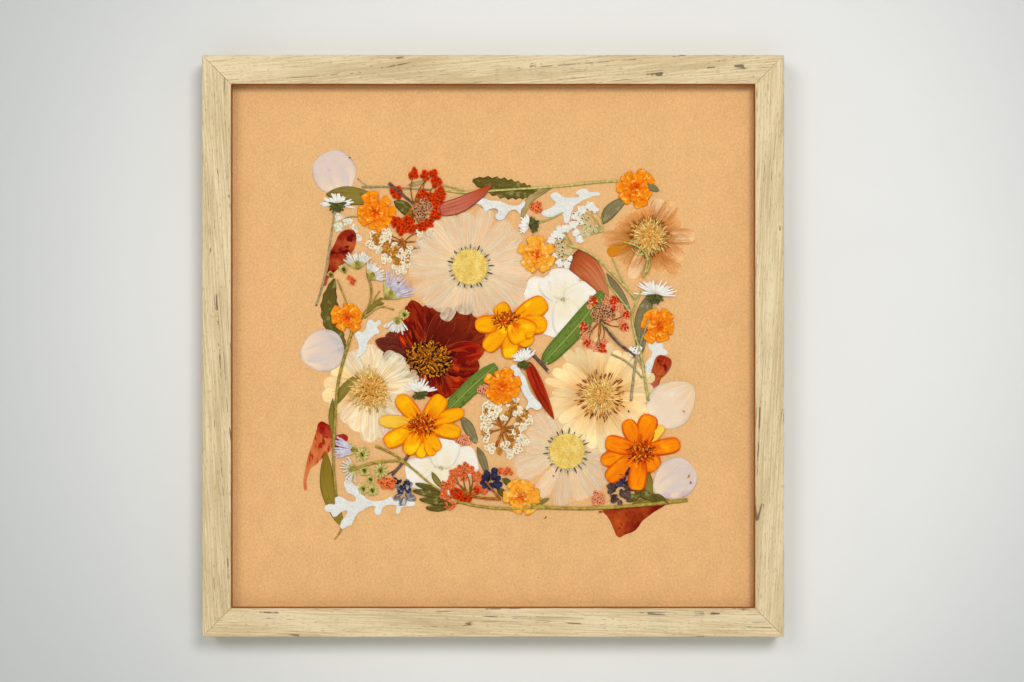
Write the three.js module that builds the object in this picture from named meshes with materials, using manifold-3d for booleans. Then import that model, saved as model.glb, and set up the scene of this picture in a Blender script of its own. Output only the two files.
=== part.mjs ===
// A wall frame with pressed flowers: mitred oak moulding, glass, kraft paper with the
// specimens lying on it, backing board, retaining points and a sawtooth hanger.
// Millimetres. X to the right, Z up, Y into the wall; the moulding's back lies on y = 0
// and the origin is the wall nail's place under the hanger.

import * as THREE from 'three';
import * as BufferGeometryUtils from 'three/addons/utils/BufferGeometryUtils.js';
import Module from 'manifold-3d';

// ---- driving dimensions -------------------------------------------------------------

const OPENING = 293;            // clear opening inside the moulding, both ways
const FACE_WIDTH = 16.6;        // front face of the moulding
const DEPTH = 20;               // moulding, front to back
const LIP_DEPTH = 5;            // wood in front of the glass
const REBATE = 6;               // how far the lip covers the glass
const EDGE_ROUND = 0.9;         // eased front edges
const MITRE_GAP = 0.12;         // each rail's end, back from the true mitre

const GLASS = 2;                // thickness
const SPECIMEN_SPACE = 1.8;     // between glass and paper, filled by the specimens
const PAPER = 0.6;              // kraft card
const BACKING = 3;              // hardboard
const FIT_GAP = 0.1;            // between sheets that lie on each other
const SHEET_CLEARANCE = 1;      // glass, paper and board inside the rebate, each side

const POINT = { length: 12, width: 7, thickness: 0.6, driven: 5, spacing: 150 };
const SLOT_GAP = 0.3;           // room round a driven point

const HANGER = { length: 46, height: 8, thickness: 0.8, raise: 1.6, bend: 19, flat: 16 };
const TOOTH = { count: 10, pitch: 3, depth: 1.6 };
const NAIL = { place: 21, shank: 0.7, tip: 1.2, length: 6, head: 1.8, headHeight: 0.7, hole: 1.05 };
const NAIL_SPARE = 0.5;         // depth of a nail's hole past its tip
const CUT_PAST = 1;             // how far a cutter runs out of the face it cuts
const THROUGH = 10;             // length of a cutter that goes right through the hanger

const LEAF_THICKNESS = 0.18;    // one pressed specimen
const LAYER = 0.25;             // from one layer of specimens to the next
const LIFT = 0.03;              // lowest layer above the paper

// ---- worked out from them -----------------------------------------------------------

const OUTER = OPENING + 2 * FACE_WIDTH;
const BACK_FACE = FACE_WIDTH - REBATE;
const FRONT = -DEPTH;
const GLASS_FRONT = FRONT + LIP_DEPTH + FIT_GAP;
const PAPER_FRONT = GLASS_FRONT + GLASS + SPECIMEN_SPACE;
const BOARD_FRONT = PAPER_FRONT + PAPER + FIT_GAP;
const POINT_FRONT = BOARD_FRONT + BACKING + FIT_GAP;
const SHEET_SIDE = OPENING + 2 * (REBATE - SHEET_CLEARANCE);
const HANGER_MIDDLE = OUTER / 2 - BACK_FACE / 2;
const NAIL_HEIGHT = HANGER_MIDDLE - HANGER.height / 2 + TOOTH.depth;

const wasm = await Module();
wasm.setup();

const object = new THREE.Group();
object.name = 'pressed_flower_frame';
const frame = new THREE.Group();
frame.position.z = -NAIL_HEIGHT;
object.add(frame);

const finish = (color, roughness = 0.8, metalness = 0) =>
  new THREE.MeshStandardMaterial({ color, roughness, metalness });

function add(name, geometry, material, place = [0, 0, 0]) {
  const mesh = new THREE.Mesh(geometry, material);
  mesh.name = name;
  mesh.position.set(...place);
  frame.add(mesh);
  return mesh;
}

// ---- joining and cutting ------------------------------------------------------------

function solid(geometry) {
  const bare = geometry.clone();
  bare.deleteAttribute('normal');
  bare.deleteAttribute('uv');
  const merged = BufferGeometryUtils.mergeVertices(bare, 1e-4);
  return new wasm.Manifold(new wasm.Mesh({
    numProp: 3,
    vertProperties: new Float32Array(merged.attributes.position.array),
    triVerts: new Uint32Array(merged.index.array),
  }));
}

function geometryOf(manifold) {
  const mesh = manifold.getMesh();
  const geometry = new THREE.BufferGeometry();
  geometry.setAttribute('position', new THREE.BufferAttribute(mesh.vertProperties, 3));
  geometry.setIndex(new THREE.BufferAttribute(mesh.triVerts, 1));
  return geometry;
}

function cut(geometry, cutters) {
  let body = solid(geometry);
  for (const cutter of cutters) body = body.subtract(solid(cutter));
  return geometryOf(body);
}

// ---- moulding -----------------------------------------------------------------------

// Section of the rail: x runs from the outer edge inwards, y from front to back.
function railSection() {
  const section = new THREE.Shape();
  section.moveTo(0, 0);
  section.lineTo(0, FRONT + EDGE_ROUND);
  section.absarc(EDGE_ROUND, FRONT + EDGE_ROUND, EDGE_ROUND, Math.PI, 1.5 * Math.PI);
  section.absarc(FACE_WIDTH - EDGE_ROUND, FRONT + EDGE_ROUND, EDGE_ROUND, 1.5 * Math.PI, 2 * Math.PI);
  section.lineTo(FACE_WIDTH, FRONT + LIP_DEPTH);
  section.lineTo(BACK_FACE, FRONT + LIP_DEPTH);
  section.lineTo(BACK_FACE, 0);
  return section;
}

// The section is run from one end to the other, and each end is slanted to its mitre.
function railGeometry() {
  const run = new THREE.ExtrudeGeometry(railSection(), { depth: 1, bevelEnabled: false, curveSegments: 3 });
  const position = run.attributes.position;
  for (let i = 0; i < position.count; i++) {
    const inward = position.getX(i);
    const end = 2 * position.getZ(i) - 1;
    position.setXYZ(i, end * (OUTER / 2 - inward - MITRE_GAP), position.getY(i), OUTER / 2 - inward);
  }
  return run;
}

function pointSlot(x) {
  const slot = new THREE.BoxGeometry(
    POINT.width + 2 * SLOT_GAP,
    POINT.thickness + 2 * SLOT_GAP,
    POINT.driven + SLOT_GAP + CUT_PAST,
  );
  const inside = OUTER / 2 - BACK_FACE - CUT_PAST;
  slot.translate(x, POINT_FRONT + POINT.thickness / 2, inside + (POINT.driven + SLOT_GAP + CUT_PAST) / 2);
  return slot;
}

function nailHole(x) {
  const hole = new THREE.CylinderGeometry(NAIL.hole, NAIL.hole, 2 * (NAIL.length + NAIL_SPARE), 12);
  hole.translate(x, 0, HANGER_MIDDLE);
  return hole;
}

const oak = finish(0xd9c494, 0.62);
const slots = [pointSlot(-POINT.spacing / 2), pointSlot(POINT.spacing / 2)];
const nailHoles = [nailHole(-NAIL.place), nailHole(NAIL.place)];
const sides = ['top', 'right', 'bottom', 'left'];

sides.forEach((side, quarter) => {
  const cutters = side === 'top' ? [...slots, ...nailHoles] : slots;
  const rail = add(`rail_${side}`, cut(railGeometry(), cutters), oak);
  rail.rotation.y = quarter * Math.PI / 2;
});

// ---- glass, paper and backing board -------------------------------------------------

function sheet(name, thickness, front, material) {
  add(name, new THREE.BoxGeometry(SHEET_SIDE, thickness, SHEET_SIDE), material, [0, front + thickness / 2, 0]);
}

const clearGlass = finish(0xf4faf8, 0.03);
clearGlass.transparent = true;
clearGlass.opacity = 0.2;
sheet('glass_pane', GLASS, GLASS_FRONT, clearGlass);
sheet('kraft_paper', PAPER, PAPER_FRONT, finish(0xe9b374, 0.9));
sheet('backing_board', BACKING, BOARD_FRONT, finish(0x8a6443, 0.8));

// ---- retaining points ---------------------------------------------------------------

// A flat steel diamond, half of it in the wood and half lying on the backing board.
function pointGeometry() {
  const half = POINT.width / 2;
  const tip = POINT.driven;
  const tail = tip - POINT.length;
  const outline = new THREE.Shape([
    new THREE.Vector2(-1, tip), new THREE.Vector2(-half, 0), new THREE.Vector2(-half, tail + 2),
    new THREE.Vector2(-half + 1.5, tail), new THREE.Vector2(half - 1.5, tail),
    new THREE.Vector2(half, tail + 2), new THREE.Vector2(half, 0), new THREE.Vector2(1, tip),
  ]);
  const plate = new THREE.ExtrudeGeometry(outline, { depth: POINT.thickness, bevelEnabled: false });
  plate.rotateX(Math.PI / 2);
  return plate;
}

const zincSteel = finish(0xb9bcc0, 0.4, 0.9);
sides.forEach((side, quarter) => {
  ['a', 'b'].forEach((letter, i) => {
    const point = add(`retaining_point_${side}_${letter}`, pointGeometry(), zincSteel);
    const along = (i - 0.5) * POINT.spacing;
    const turn = new THREE.Matrix4().makeRotationY(quarter * Math.PI / 2);
    point.position.set(along, POINT_FRONT + POINT.thickness, OUTER / 2 - BACK_FACE).applyMatrix4(turn);
    point.rotation.y = quarter * Math.PI / 2;
  });
});

// ---- sawtooth hanger ----------------------------------------------------------------

// The strip's long edge, with its middle pressed out so that a nail head goes under it.
function hangerEdge() {
  const { length, bend, flat, raise, thickness } = HANGER;
  const under = [[-length / 2, 0], [-bend, 0], [-flat, raise], [flat, raise], [bend, 0], [length / 2, 0]];
  const over = under.map(([x, y]) => [x, y + thickness]).reverse();
  return new THREE.Shape([...under, ...over].map(([x, y]) => new THREE.Vector2(x, y)));
}

function toothNotch(i) {
  const x = (i - TOOTH.count / 2) * TOOTH.pitch;
  const notch = new THREE.Shape([
    new THREE.Vector2(x, -HANGER.height / 2), new THREE.Vector2(x + TOOTH.pitch, -HANGER.height / 2),
    new THREE.Vector2(x + TOOTH.pitch / 2, -HANGER.height / 2 + TOOTH.depth),
  ]);
  const prism = new THREE.ExtrudeGeometry(notch, { depth: THROUGH, bevelEnabled: false });
  prism.rotateX(Math.PI / 2);
  prism.translate(0, THROUGH / 2, 0);
  return prism;
}

function hangerGeometry() {
  const strip = new THREE.ExtrudeGeometry(hangerEdge(), { depth: HANGER.height, bevelEnabled: false });
  strip.translate(0, 0, -HANGER.height / 2);
  const holes = [-NAIL.place, NAIL.place].map((x) => {
    const hole = new THREE.CylinderGeometry(NAIL.hole, NAIL.hole, THROUGH, 12);
    return hole.translate(x, 0, 0);
  });
  const notches = Array.from({ length: TOOTH.count }, (_, i) => toothNotch(i));
  return cut(strip, [...holes, ...notches]);
}

const brassPlated = finish(0xb99a5b, 0.35, 0.9);
add('sawtooth_hanger', hangerGeometry(), brassPlated, [0, FIT_GAP / 2, HANGER_MIDDLE]);

function nailGeometry() {
  const under = HANGER.thickness + FIT_GAP;
  const profile = [
    [0, -NAIL.length], [NAIL.shank, -NAIL.length + NAIL.tip], [NAIL.shank, under],
    [NAIL.head, under], [NAIL.head * 0.7, under + NAIL.headHeight * 0.8], [0, under + NAIL.headHeight],
  ];
  return new THREE.LatheGeometry(profile.map(([r, y]) => new THREE.Vector2(r, y)), 14);
}

[['left', -1], ['right', 1]].forEach(([side, sign]) => {
  add(`hanger_nail_${side}`, nailGeometry(), brassPlated, [sign * NAIL.place, 0, HANGER_MIDDLE]);
});

// ---- pressed specimens --------------------------------------------------------------
// Outlines lie in the plane of the paper, with x to the right and y up, in millimetres
// from the middle of the opening. Layer 0 lies on the paper, and higher ones on top of it.

const polar = (degrees, reach) => new THREE.Vector2(reach, 0)
  .rotateAround(new THREE.Vector2(), THREE.MathUtils.degToRad(degrees));

// A flower head seen from above: each petal is [direction in degrees, reach].
function flowerHead(petals, waist) {
  const outline = [];
  const sorted = [...petals].sort((a, b) => a[0] - b[0]);
  sorted.forEach(([direction, reach], i) => {
    const next = sorted[(i + 1) % sorted.length][0] + (i + 1 === sorted.length ? 360 : 0);
    const previous = sorted[(i + sorted.length - 1) % sorted.length][0] - (i === 0 ? 360 : 0);
    const shoulder = Math.min(next - direction, direction - previous) * 0.33;
    outline.push(polar(direction - shoulder, reach * 0.9));
    outline.push(polar(direction, reach));
    outline.push(polar(direction + shoulder, reach * 0.9));
    outline.push(polar((direction + next) / 2, waist));
  });
  return outline;
}

// Evenly spaced petals whose reach varies a little from one to the next.
function ring(count, reach, start = 0, variation = 0.06) {
  return Array.from({ length: count }, (_, i) => [
    start + i * 360 / count,
    reach * (1 - variation * (0.5 + 0.5 * Math.sin(2.4 * i + start))),
  ]);
}

function roundDisc(radius, flattening = 0.97) {
  return Array.from({ length: 28 }, (_, i) => {
    const edge = polar(i * 360 / 28, radius);
    return new THREE.Vector2(edge.x * flattening, edge.y);
  });
}

// A leaf or petal along a curved middle line, widest at the share `belly` of its length.
function blade(spine, width, belly = 0.5, tail = 0.06) {
  const middle = new THREE.SplineCurve(spine.map(([x, y]) => new THREE.Vector2(x, y)));
  const left = [];
  const right = [];
  const stations = 8;
  for (let i = 0; i <= stations; i++) {
    const t = i / stations;
    const swell = Math.sin(Math.PI * t ** (Math.log(0.5) / Math.log(belly)));
    const half = width / 2 * Math.max(swell, tail);
    const across = middle.getTangentAt(t).rotateAround(new THREE.Vector2(), Math.PI / 2).multiplyScalar(half);
    const centre = middle.getPointAt(t);
    left.push(centre.clone().add(across));
    right.unshift(centre.clone().sub(across));
  }
  return [...left, ...right];
}

const points = (list) => list.map(([x, y]) => new THREE.Vector2(x, y));

function specimen(name, outline, layer, material, place = [0, 0]) {
  const shape = new THREE.Shape(outline);
  const plate = new THREE.ExtrudeGeometry(shape, { depth: LEAF_THICKNESS, bevelEnabled: false });
  plate.rotateX(Math.PI / 2);
  add(name, plate, material, [place[0], PAPER_FRONT - LIFT - layer * LAYER, place[1]]);
}

const cream = finish(0xf0dcbc, 0.7);
const palePetal = finish(0xf3e3bf, 0.7);
const amberPetal = finish(0xd9a560, 0.7);
const whitePetal = finish(0xf3efe6, 0.7);
const orangePetal = finish(0xff9a10, 0.6);
const crimsonPetal = finish(0x7a1408, 0.65);
const brickPetal = finish(0xa8402c, 0.65);
const silverLeaf = finish(0xe4e6e2, 0.9);
const podSkin = finish(0xded0c8, 0.6);
const oliveLeaf = finish(0x6f6a34, 0.75);
const greenLeaf = finish(0x4f6e2a, 0.75);
const greyLeaf = finish(0x8b8a74, 0.8);

specimen('daisy_top', flowerHead(ring(17, 34.7, 4), 20), 3, cream, [-12.9, 44.2]);
specimen('daisy_bottom', flowerHead(ring(16, 30.2, 12), 18), 1, cream, [41.4, -59.1]);
specimen('daisy_yellow', flowerHead(ring(18, 31.5, 8), 22), 2, palePetal, [60.5, -28]);
specimen('daisy_cream', flowerHead(ring(14, 28, 0), 20), 1, palePetal, [-68.9, -24.6]);
specimen('daisy_brown', flowerHead(ring(13, 26, 0, 0.3), 15), 1, amberPetal, [87.9, 61.6]);

specimen('crimson_flower', flowerHead([
  [-126, 22], [-87, 21], [-63, 24], [-35, 27], [-2, 31], [23, 35], [49, 40.5], [75, 30],
  [102, 35], [130, 24], [156, 31], [203, 20],
], 15), 2, crimsonPetal, [-36.4, -7.8]);

specimen('zinnia_centre', flowerHead([
  [-133, 21.4], [-92, 20.7], [-50, 16.7], [-5, 20.5], [31, 23], [127, 12.5], [185, 20.5],
], 9), 4, orangePetal, [10.1, 13.4]);
specimen('zinnia_left', flowerHead([
  [-153, 23.8], [-118, 19], [-85, 18.6], [-60, 20], [-13, 22], [17, 24.6], [53, 19.6], [131, 21.4], [175, 24.7],
], 8), 4, orangePetal, [-39.8, -44.2]);
specimen('zinnia_right', flowerHead([
  [-166, 23], [-139, 24.6], [-96, 22], [-48, 13.5], [11, 22.8], [48, 19.4], [75, 21.5], [114, 19.6], [164, 20.4],
], 8), 4, orangePetal, [82.9, -59.4]);

const marigolds = [
  [-66.6, 75.6, 11.6, 2], [80.1, 89, 11, 2], [24.6, 51.5, 10.3, 4], [-82.3, 16.2, 9.4, 2],
  [93, 11.2, 10, 2], [5, -23, 11, 5], [15.7, -85.1, 10.8, 3],
];
marigolds.forEach(([x, z, reach, layer], i) => {
  specimen(`marigold_${i + 1}`, flowerHead(ring(8, reach, 10 * i), reach * 0.82), layer, orangePetal, [x, z]);
});

specimen('hydrangea_right', flowerHead([[-68, 18.6], [-8, 16.5], [72, 18.5], [150, 19.5]], 15.5), 1, whitePetal,
  [37.5, 24.6]);
specimen('hydrangea_left', flowerHead([[-100, 17.5], [-160, 18.5], [82, 16.5], [15, 19]], 13.5), 1, whitePetal,
  [-29.7, -68.3]);

[[-89, 96.9, 12.2, 0], [-96.3, -2.8, 12, 2], [100.2, -33, 13.4, 3], [102.5, -75, 11.9, 1]]
  .forEach(([x, z, radius, layer], i) => {
    specimen(`honesty_disc_${i + 1}`, roundDisc(radius), layer, podSkin, [x, z]);
  });

specimen('silver_leaf_top', points([
  [-11.5, 81], [-7, 83.7], [4, 81.8], [9.5, 79.2], [15, 79.5], [17.4, 81.8], [14.6, 74.5], [10, 76.7],
  [4, 71], [1, 73.4], [1.7, 77], [-2.8, 76.7], [-5, 79],
]), 4, silverLeaf);
specimen('silver_leaf_upper_right', points([
  [32.5, 85.4], [36.4, 86.2], [41, 83.7], [48.7, 84.6], [46, 87], [51.5, 89], [60, 85.7], [52, 82.6], [46, 79.2],
  [43.7, 74], [41.4, 69.4], [39.2, 74.5], [32.5, 72.8], [27.4, 75.6], [35.3, 80.6],
]), 1, silverLeaf);
specimen('silver_leaf_left', points([
  [-77.8, 7.3], [-71.7, 10], [-69, 14.6], [-64.4, 15], [-65.2, 10.6], [-66.6, 6.2], [-71, 1.7], [-72.8, -3.4],
  [-77.3, -7.8], [-76.2, 0.6],
]), 2, silverLeaf);
specimen('silver_leaf_centre', points([
  [10, -11.2], [14, -11.2], [18, -17.4], [20.7, -25.8], [27, -35.3], [18.5, -35.8], [16.8, -28], [13.4, -19],
]), 4, silverLeaf);
specimen('silver_leaf_right', points([
  [88.5, 3.4], [95.2, 1.7], [98, -4], [93.5, -8.4], [90.7, -18], [85.7, -15.7], [83, -4.5], [87.4, -6.7],
]), 0, silverLeaf);
specimen('silver_leaf_bottom', points([
  [-84, -77.3], [-80.6, -76.2], [-74.5, -79], [-70.6, -86.2], [-62.2, -87], [-44.2, -88], [-44.2, -89.6],
  [-51.5, -91], [-53.8, -94.6], [-57.7, -89.6], [-63.3, -94], [-66.6, -90.2], [-76.7, -94.6], [-80, -100.8],
  [-85, -103], [-85.7, -97.4], [-90.7, -95.2], [-95.2, -91.3], [-89, -85], [-80, -87.6], [-77.8, -86.2],
]), 2, silverLeaf);

specimen('petal_pink', blade([[-1.7, 89.6], [-11.8, 83.4], [-29.7, 76.2]], 10, 0.65), 5, brickPetal);
specimen('petal_crimson', blade([[-79, 65], [-85, 52.6], [-94.6, 33]], 13.4, 0.35), 2, crimsonPetal);
specimen('petal_brick', blade([[43.7, 50.4], [55.4, 41.4], [64.4, 27]], 13.4, 0.35), 2, brickPetal);
specimen('petal_narrow', blade([[19.6, -9.5], [24, -21.8], [34.2, -41]], 7, 0.35), 5, crimsonPetal);
specimen('petal_twisted', blade([[98, -6.7], [93.5, -16.8], [82.3, -32.5]], 9, 0.35), 1, brickPetal);
specimen('petal_folded', blade([[-95.8, -43], [-98, -58.2], [-106.4, -81.8]], 11, 0.4), 0, brickPetal);
specimen('petal_triangle', points([
  [62.2, -93], [76.7, -91.6], [98.6, -88.5], [86.8, -97], [83, -102], [71, -107.5], [66.6, -98.6],
]), 0, crimsonPetal);

specimen('leaf_olive', blade([[-93.5, 85], [-81.2, 84.8], [-67.8, 83.4]], 10.2), 1, oliveLeaf);
specimen('leaf_dark_green', blade([[-89.6, 38], [-92.6, 24], [-89.8, 10], [-84, -4]], 10.8), 0, greenLeaf);
specimen('leaf_blade_right', blade([[61.6, 29.7], [48.7, 13.4], [29, -9]], 10.5), 3, greenLeaf);
specimen('leaf_blade_left', blade([[1, -11.2], [-10.6, -21.3], [-25.8, -36.4]], 9), 3, greenLeaf);
specimen('leaf_grey_green', blade([[88, 29], [84, 14.6], [83, -4]], 8), 1, greyLeaf);
specimen('leaf_spotted', blade([[-94.6, -61], [-92.4, -80.6], [-86.2, -100.2]], 8.4), 1, oliveLeaf);
specimen('leaf_serrated', blade([[-11, 93], [6.7, 88.5], [24.6, 86.5]], 12), 0, oliveLeaf);

export default object;
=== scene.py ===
import math
import random

import bmesh
import bpy
from mathutils import Matrix, Vector


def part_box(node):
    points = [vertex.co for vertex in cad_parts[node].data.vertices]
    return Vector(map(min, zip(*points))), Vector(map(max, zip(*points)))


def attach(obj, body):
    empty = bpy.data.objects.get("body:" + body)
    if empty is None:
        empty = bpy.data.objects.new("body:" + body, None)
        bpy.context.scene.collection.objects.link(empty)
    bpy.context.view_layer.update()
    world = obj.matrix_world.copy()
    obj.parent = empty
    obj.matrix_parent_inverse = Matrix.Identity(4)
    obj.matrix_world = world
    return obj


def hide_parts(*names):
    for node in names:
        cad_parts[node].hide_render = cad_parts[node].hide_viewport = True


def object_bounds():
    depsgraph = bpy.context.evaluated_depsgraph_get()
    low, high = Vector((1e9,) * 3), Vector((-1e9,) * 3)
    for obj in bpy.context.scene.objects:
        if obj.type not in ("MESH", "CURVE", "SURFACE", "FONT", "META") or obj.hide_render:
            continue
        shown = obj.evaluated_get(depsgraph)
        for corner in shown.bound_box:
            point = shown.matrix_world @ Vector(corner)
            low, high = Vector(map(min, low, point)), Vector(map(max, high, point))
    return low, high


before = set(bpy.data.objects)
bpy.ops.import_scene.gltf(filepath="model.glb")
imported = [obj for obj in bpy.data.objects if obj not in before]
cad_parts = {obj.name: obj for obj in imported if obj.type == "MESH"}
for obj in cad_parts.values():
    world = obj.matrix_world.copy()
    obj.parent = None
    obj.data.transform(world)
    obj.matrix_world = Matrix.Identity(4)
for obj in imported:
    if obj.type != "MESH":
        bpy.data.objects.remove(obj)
cad_low, cad_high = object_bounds()


# ---- camera -------------------------------------------------------------------------
# It looks square at the frame from 1.2 m, a little to the right of the opening's middle
# and above it, so that all four rails are seen face on.
IMAGE_WIDTH = 1024
MM = 0.001
FACE_SCALE = 0.56 * MM
CAMERA_DISTANCE = 1200 * MM
CAMERA_RIGHT = 10.6 * MM
CAMERA_UP = 2.8 * MM

pane_low, pane_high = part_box("glass_pane")
opening = (pane_low + pane_high) / 2
bpy.ops.object.select_all(action="DESELECT")
bpy.ops.object.camera_add(
    location=(opening.x + CAMERA_RIGHT, cad_low.y - CAMERA_DISTANCE, opening.z + CAMERA_UP),
    rotation=(math.pi / 2, 0, 0))
camera = bpy.context.object
camera.data.lens = camera.data.sensor_width * CAMERA_DISTANCE / (IMAGE_WIDTH * FACE_SCALE)
bpy.context.scene.camera = camera


# ---- light --------------------------------------------------------------------------
# Two soft boxes, high on the right and on the left, in an evenly lit room. The room is
# dark behind the camera, so the glass mirrors nothing bright. Rays may pass through the
# many thin petals.
SOFT_BOXES = (
    ("soft box right", (0.62, -2.3, 0.7), 0.7, 27),
    ("soft box left", (-1.0, -2.1, 0.6), 0.9, 13),
)
ROOM_LIGHT = (0.94, 0.97, 1.0)
ROOM_DARK = (0.02, 0.02, 0.02)
ROOM_STRENGTH = 0.5
DARK_DOORWAY = (0.90, 0.97)
LAYERS_SEEN_THROUGH = 48


def wire(tree, kind, feeds=None, **settings):
    """A new shader node with its settings, whose inputs get plain values or outputs."""
    made = tree.nodes.new("ShaderNode" + kind)
    for name, value in settings.items():
        setattr(made, name, value)
    for socket, value in (feeds or {}).items():
        if isinstance(value, bpy.types.NodeSocket):
            tree.links.new(value, made.inputs[socket])
        else:
            made.inputs[socket].default_value = value
    return made


def maths(tree, operation, first, second=0.0, third=0.0):
    return wire(tree, "Math", {0: first, 1: second, 2: third}, operation=operation).outputs[0]


def between(tree, value, low, high):
    """0 where the value is under low and 1 where it is over high, with a soft step."""
    step = wire(tree, "MapRange", {"Value": value, "From Min": low, "From Max": high},
                interpolation_type="SMOOTHSTEP")
    return step.outputs[0]


def mixed(tree, share, first, second, blend_type="MIX"):
    made = wire(tree, "Mix", {0: share, 6: first, 7: second}, data_type="RGBA",
                blend_type=blend_type)
    return made.outputs[2]


for name, place, side, power in SOFT_BOXES:
    aim = (Vector(place) - opening).to_track_quat("Z", "Y").to_euler()
    bpy.ops.object.light_add(type="AREA", location=place, rotation=aim)
    lamp = bpy.context.object
    lamp.name = name
    lamp.data.size = side
    lamp.data.energy = power

room = bpy.data.worlds.new("room")
room.use_nodes = True
background = room.node_tree.nodes["Background"]
background.inputs["Strength"].default_value = ROOM_STRENGTH
behind = wire(room.node_tree, "VectorMath", {
    0: wire(room.node_tree, "TexCoord").outputs["Generated"], 1: (0, -1, 0)},
    operation="DOT_PRODUCT").outputs["Value"]
shade = mixed(room.node_tree, between(room.node_tree, behind, *DARK_DOORWAY), (*ROOM_LIGHT, 1),
              (*ROOM_DARK, 1))
room.node_tree.links.new(shade, background.inputs["Color"])
bpy.context.scene.world = room
bpy.context.scene.view_settings.view_transform = "Standard"
bpy.context.scene.cycles.transparent_max_bounces = LAYERS_SEEN_THROUGH


# ---- wall and floor -----------------------------------------------------------------
# A matt painted wall close behind the frame and a pale floor below it. The wall shows
# only its front, so that the frame's back can be looked at from behind. Its colour has
# painted shade that greys it towards the corners, away from the frame.
WALL_SIZE = 4.0
WALL_GAP = 0.4 * MM
WALL_BRIGHTEST = (0.05, cad_high.y + WALL_GAP, opening.z + 0.03)
WALL_SHADE_FALLOFF = (0.16, 0.42)
FLOOR_DROP = 0.62


def paint(red, green, blue):
    """A colour as a colour card gives it, 0 to 255, in the light values of a shader."""
    return (*((v / 255 / 12.92 if v < 10.3 else ((v / 255 + 0.055) / 1.055) ** 2.4)
              for v in (red, green, blue)), 1)


def group(name, given, results):
    """An empty node group with sockets (name, kind, value) and its two end nodes."""
    tree = bpy.data.node_groups.new(name, "ShaderNodeTree")
    for label, kind, value in given:
        socket = tree.interface.new_socket(label, in_out="INPUT", socket_type="NodeSocket" + kind)
        if value is not None:
            socket.default_value = value
    for label, kind in results:
        tree.interface.new_socket(label, in_out="OUTPUT", socket_type="NodeSocket" + kind)
    return tree, tree.nodes.new("NodeGroupInput").outputs, tree.nodes.new("NodeGroupOutput").inputs


def spots_in(tree, noise, amount, high, drop, edge):
    """Spots where the noise is high: the larger the amount, the lower they begin."""
    start = maths(tree, "SUBTRACT", high, maths(tree, "MULTIPLY", amount, drop))
    return between(tree, noise, start, maths(tree, "ADD", start, edge))


def shaded(tree, colour, piece, spread, cloud):
    """The colour, lighter or darker by the piece's own number and in soft clouds."""
    shift = maths(tree, "MULTIPLY", maths(tree, "SUBTRACT", piece, 0.5), spread)
    shift = maths(tree, "ADD", shift, maths(tree, "MULTIPLY_ADD", cloud, 0.16, 0.92))
    return wire(tree, "HueSaturation", {"Value": shift, "Color": colour}).outputs[0]


def mottled_group():
    """Two tones in soft clouds with flecks: paper, board, metal, paint and dried bits."""
    tree, given, result = group("mottled", (
        ("Vector", "Vector", None), ("Piece", "Float", 0.5), ("Pale", "Color", None),
        ("Deep", "Color", None), ("Fleck", "Color", None), ("Scale", "Float", 200.0),
        ("Fleck Scale", "Float", 900.0), ("Flecks", "Float", 0.3), ("Spread", "Float", 0.0),
    ), (("Colour", "Color"), ("Height", "Float")))
    cloud = wire(tree, "TexNoise", {"Vector": given["Vector"], "Scale": given["Scale"],
                                    "Detail": 4.0, "Roughness": 0.6}).outputs[0]
    pale = between(tree, cloud, 0.36, 0.64)
    speck = wire(tree, "TexNoise", {"Vector": given["Vector"], "Scale": given["Fleck Scale"],
                                    "Detail": 2.0}).outputs[0]
    fleck = spots_in(tree, speck, given["Flecks"], high=0.75, drop=0.35, edge=0.08)
    colour = mixed(tree, pale, given["Deep"], given["Pale"])
    colour = mixed(tree, fleck, colour, given["Fleck"])
    broad = wire(tree, "TexNoise", {"Vector": given["Vector"], "Detail": 2.0, "Scale": maths(
        tree, "MULTIPLY", given["Scale"], 0.13)}).outputs[0]
    tree.links.new(shaded(tree, colour, given["Piece"], given["Spread"], broad), result["Colour"])
    tree.links.new(maths(tree, "SUBTRACT", cloud, fleck), result["Height"])
    return tree


mottled = mottled_group()


def material(name, roughness, **shader):
    """A new material's tree and its Principled shader, with plain values set on it."""
    made = bpy.data.materials.new(name)
    made.use_nodes = True
    shine = made.node_tree.nodes["Principled BSDF"]
    shine.inputs["Roughness"].default_value = roughness
    for socket, value in shader.items():
        shine.inputs[socket.replace("_", " ")].default_value = value
    return made, made.node_tree, shine


def use_group(tree, shine, made_group, values, bump, depth):
    """Puts a group into a material: its Colour, and its Height as relief of that depth."""
    place = wire(tree, "Group", values, node_tree=made_group)
    tree.links.new(place.outputs["Colour"], shine.inputs["Base Color"])
    relief = wire(tree, "Bump", {"Strength": bump, "Distance": depth,
                                 "Height": place.outputs["Height"]})
    tree.links.new(relief.outputs[0], shine.inputs["Normal"])
    return place


def mottled_finish(name, pale, deep, fleck, scale, roughness, fleck_scale=900.0, flecks=0.3,
                   spread=0.0, bump=0.3, depth=0.1 * MM, stretch=(1, 1, 1), **shader):
    """A finish of two tones and flecks, each a colour-card colour."""
    made, tree, shine = material(name, roughness, **shader)
    place = wire(tree, "Mapping", {"Vector": wire(tree, "TexCoord").outputs["Object"],
                                   "Scale": stretch}).outputs[0]
    island = wire(tree, "NewGeometry").outputs["Random Per Island"]
    use_group(tree, shine, mottled, {
        "Vector": place, "Piece": island, "Pale": paint(*pale), "Deep": paint(*deep),
        "Fleck": paint(*fleck), "Scale": scale, "Fleck Scale": fleck_scale, "Flecks": flecks,
        "Spread": spread,
    }, bump, depth)
    return made


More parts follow.
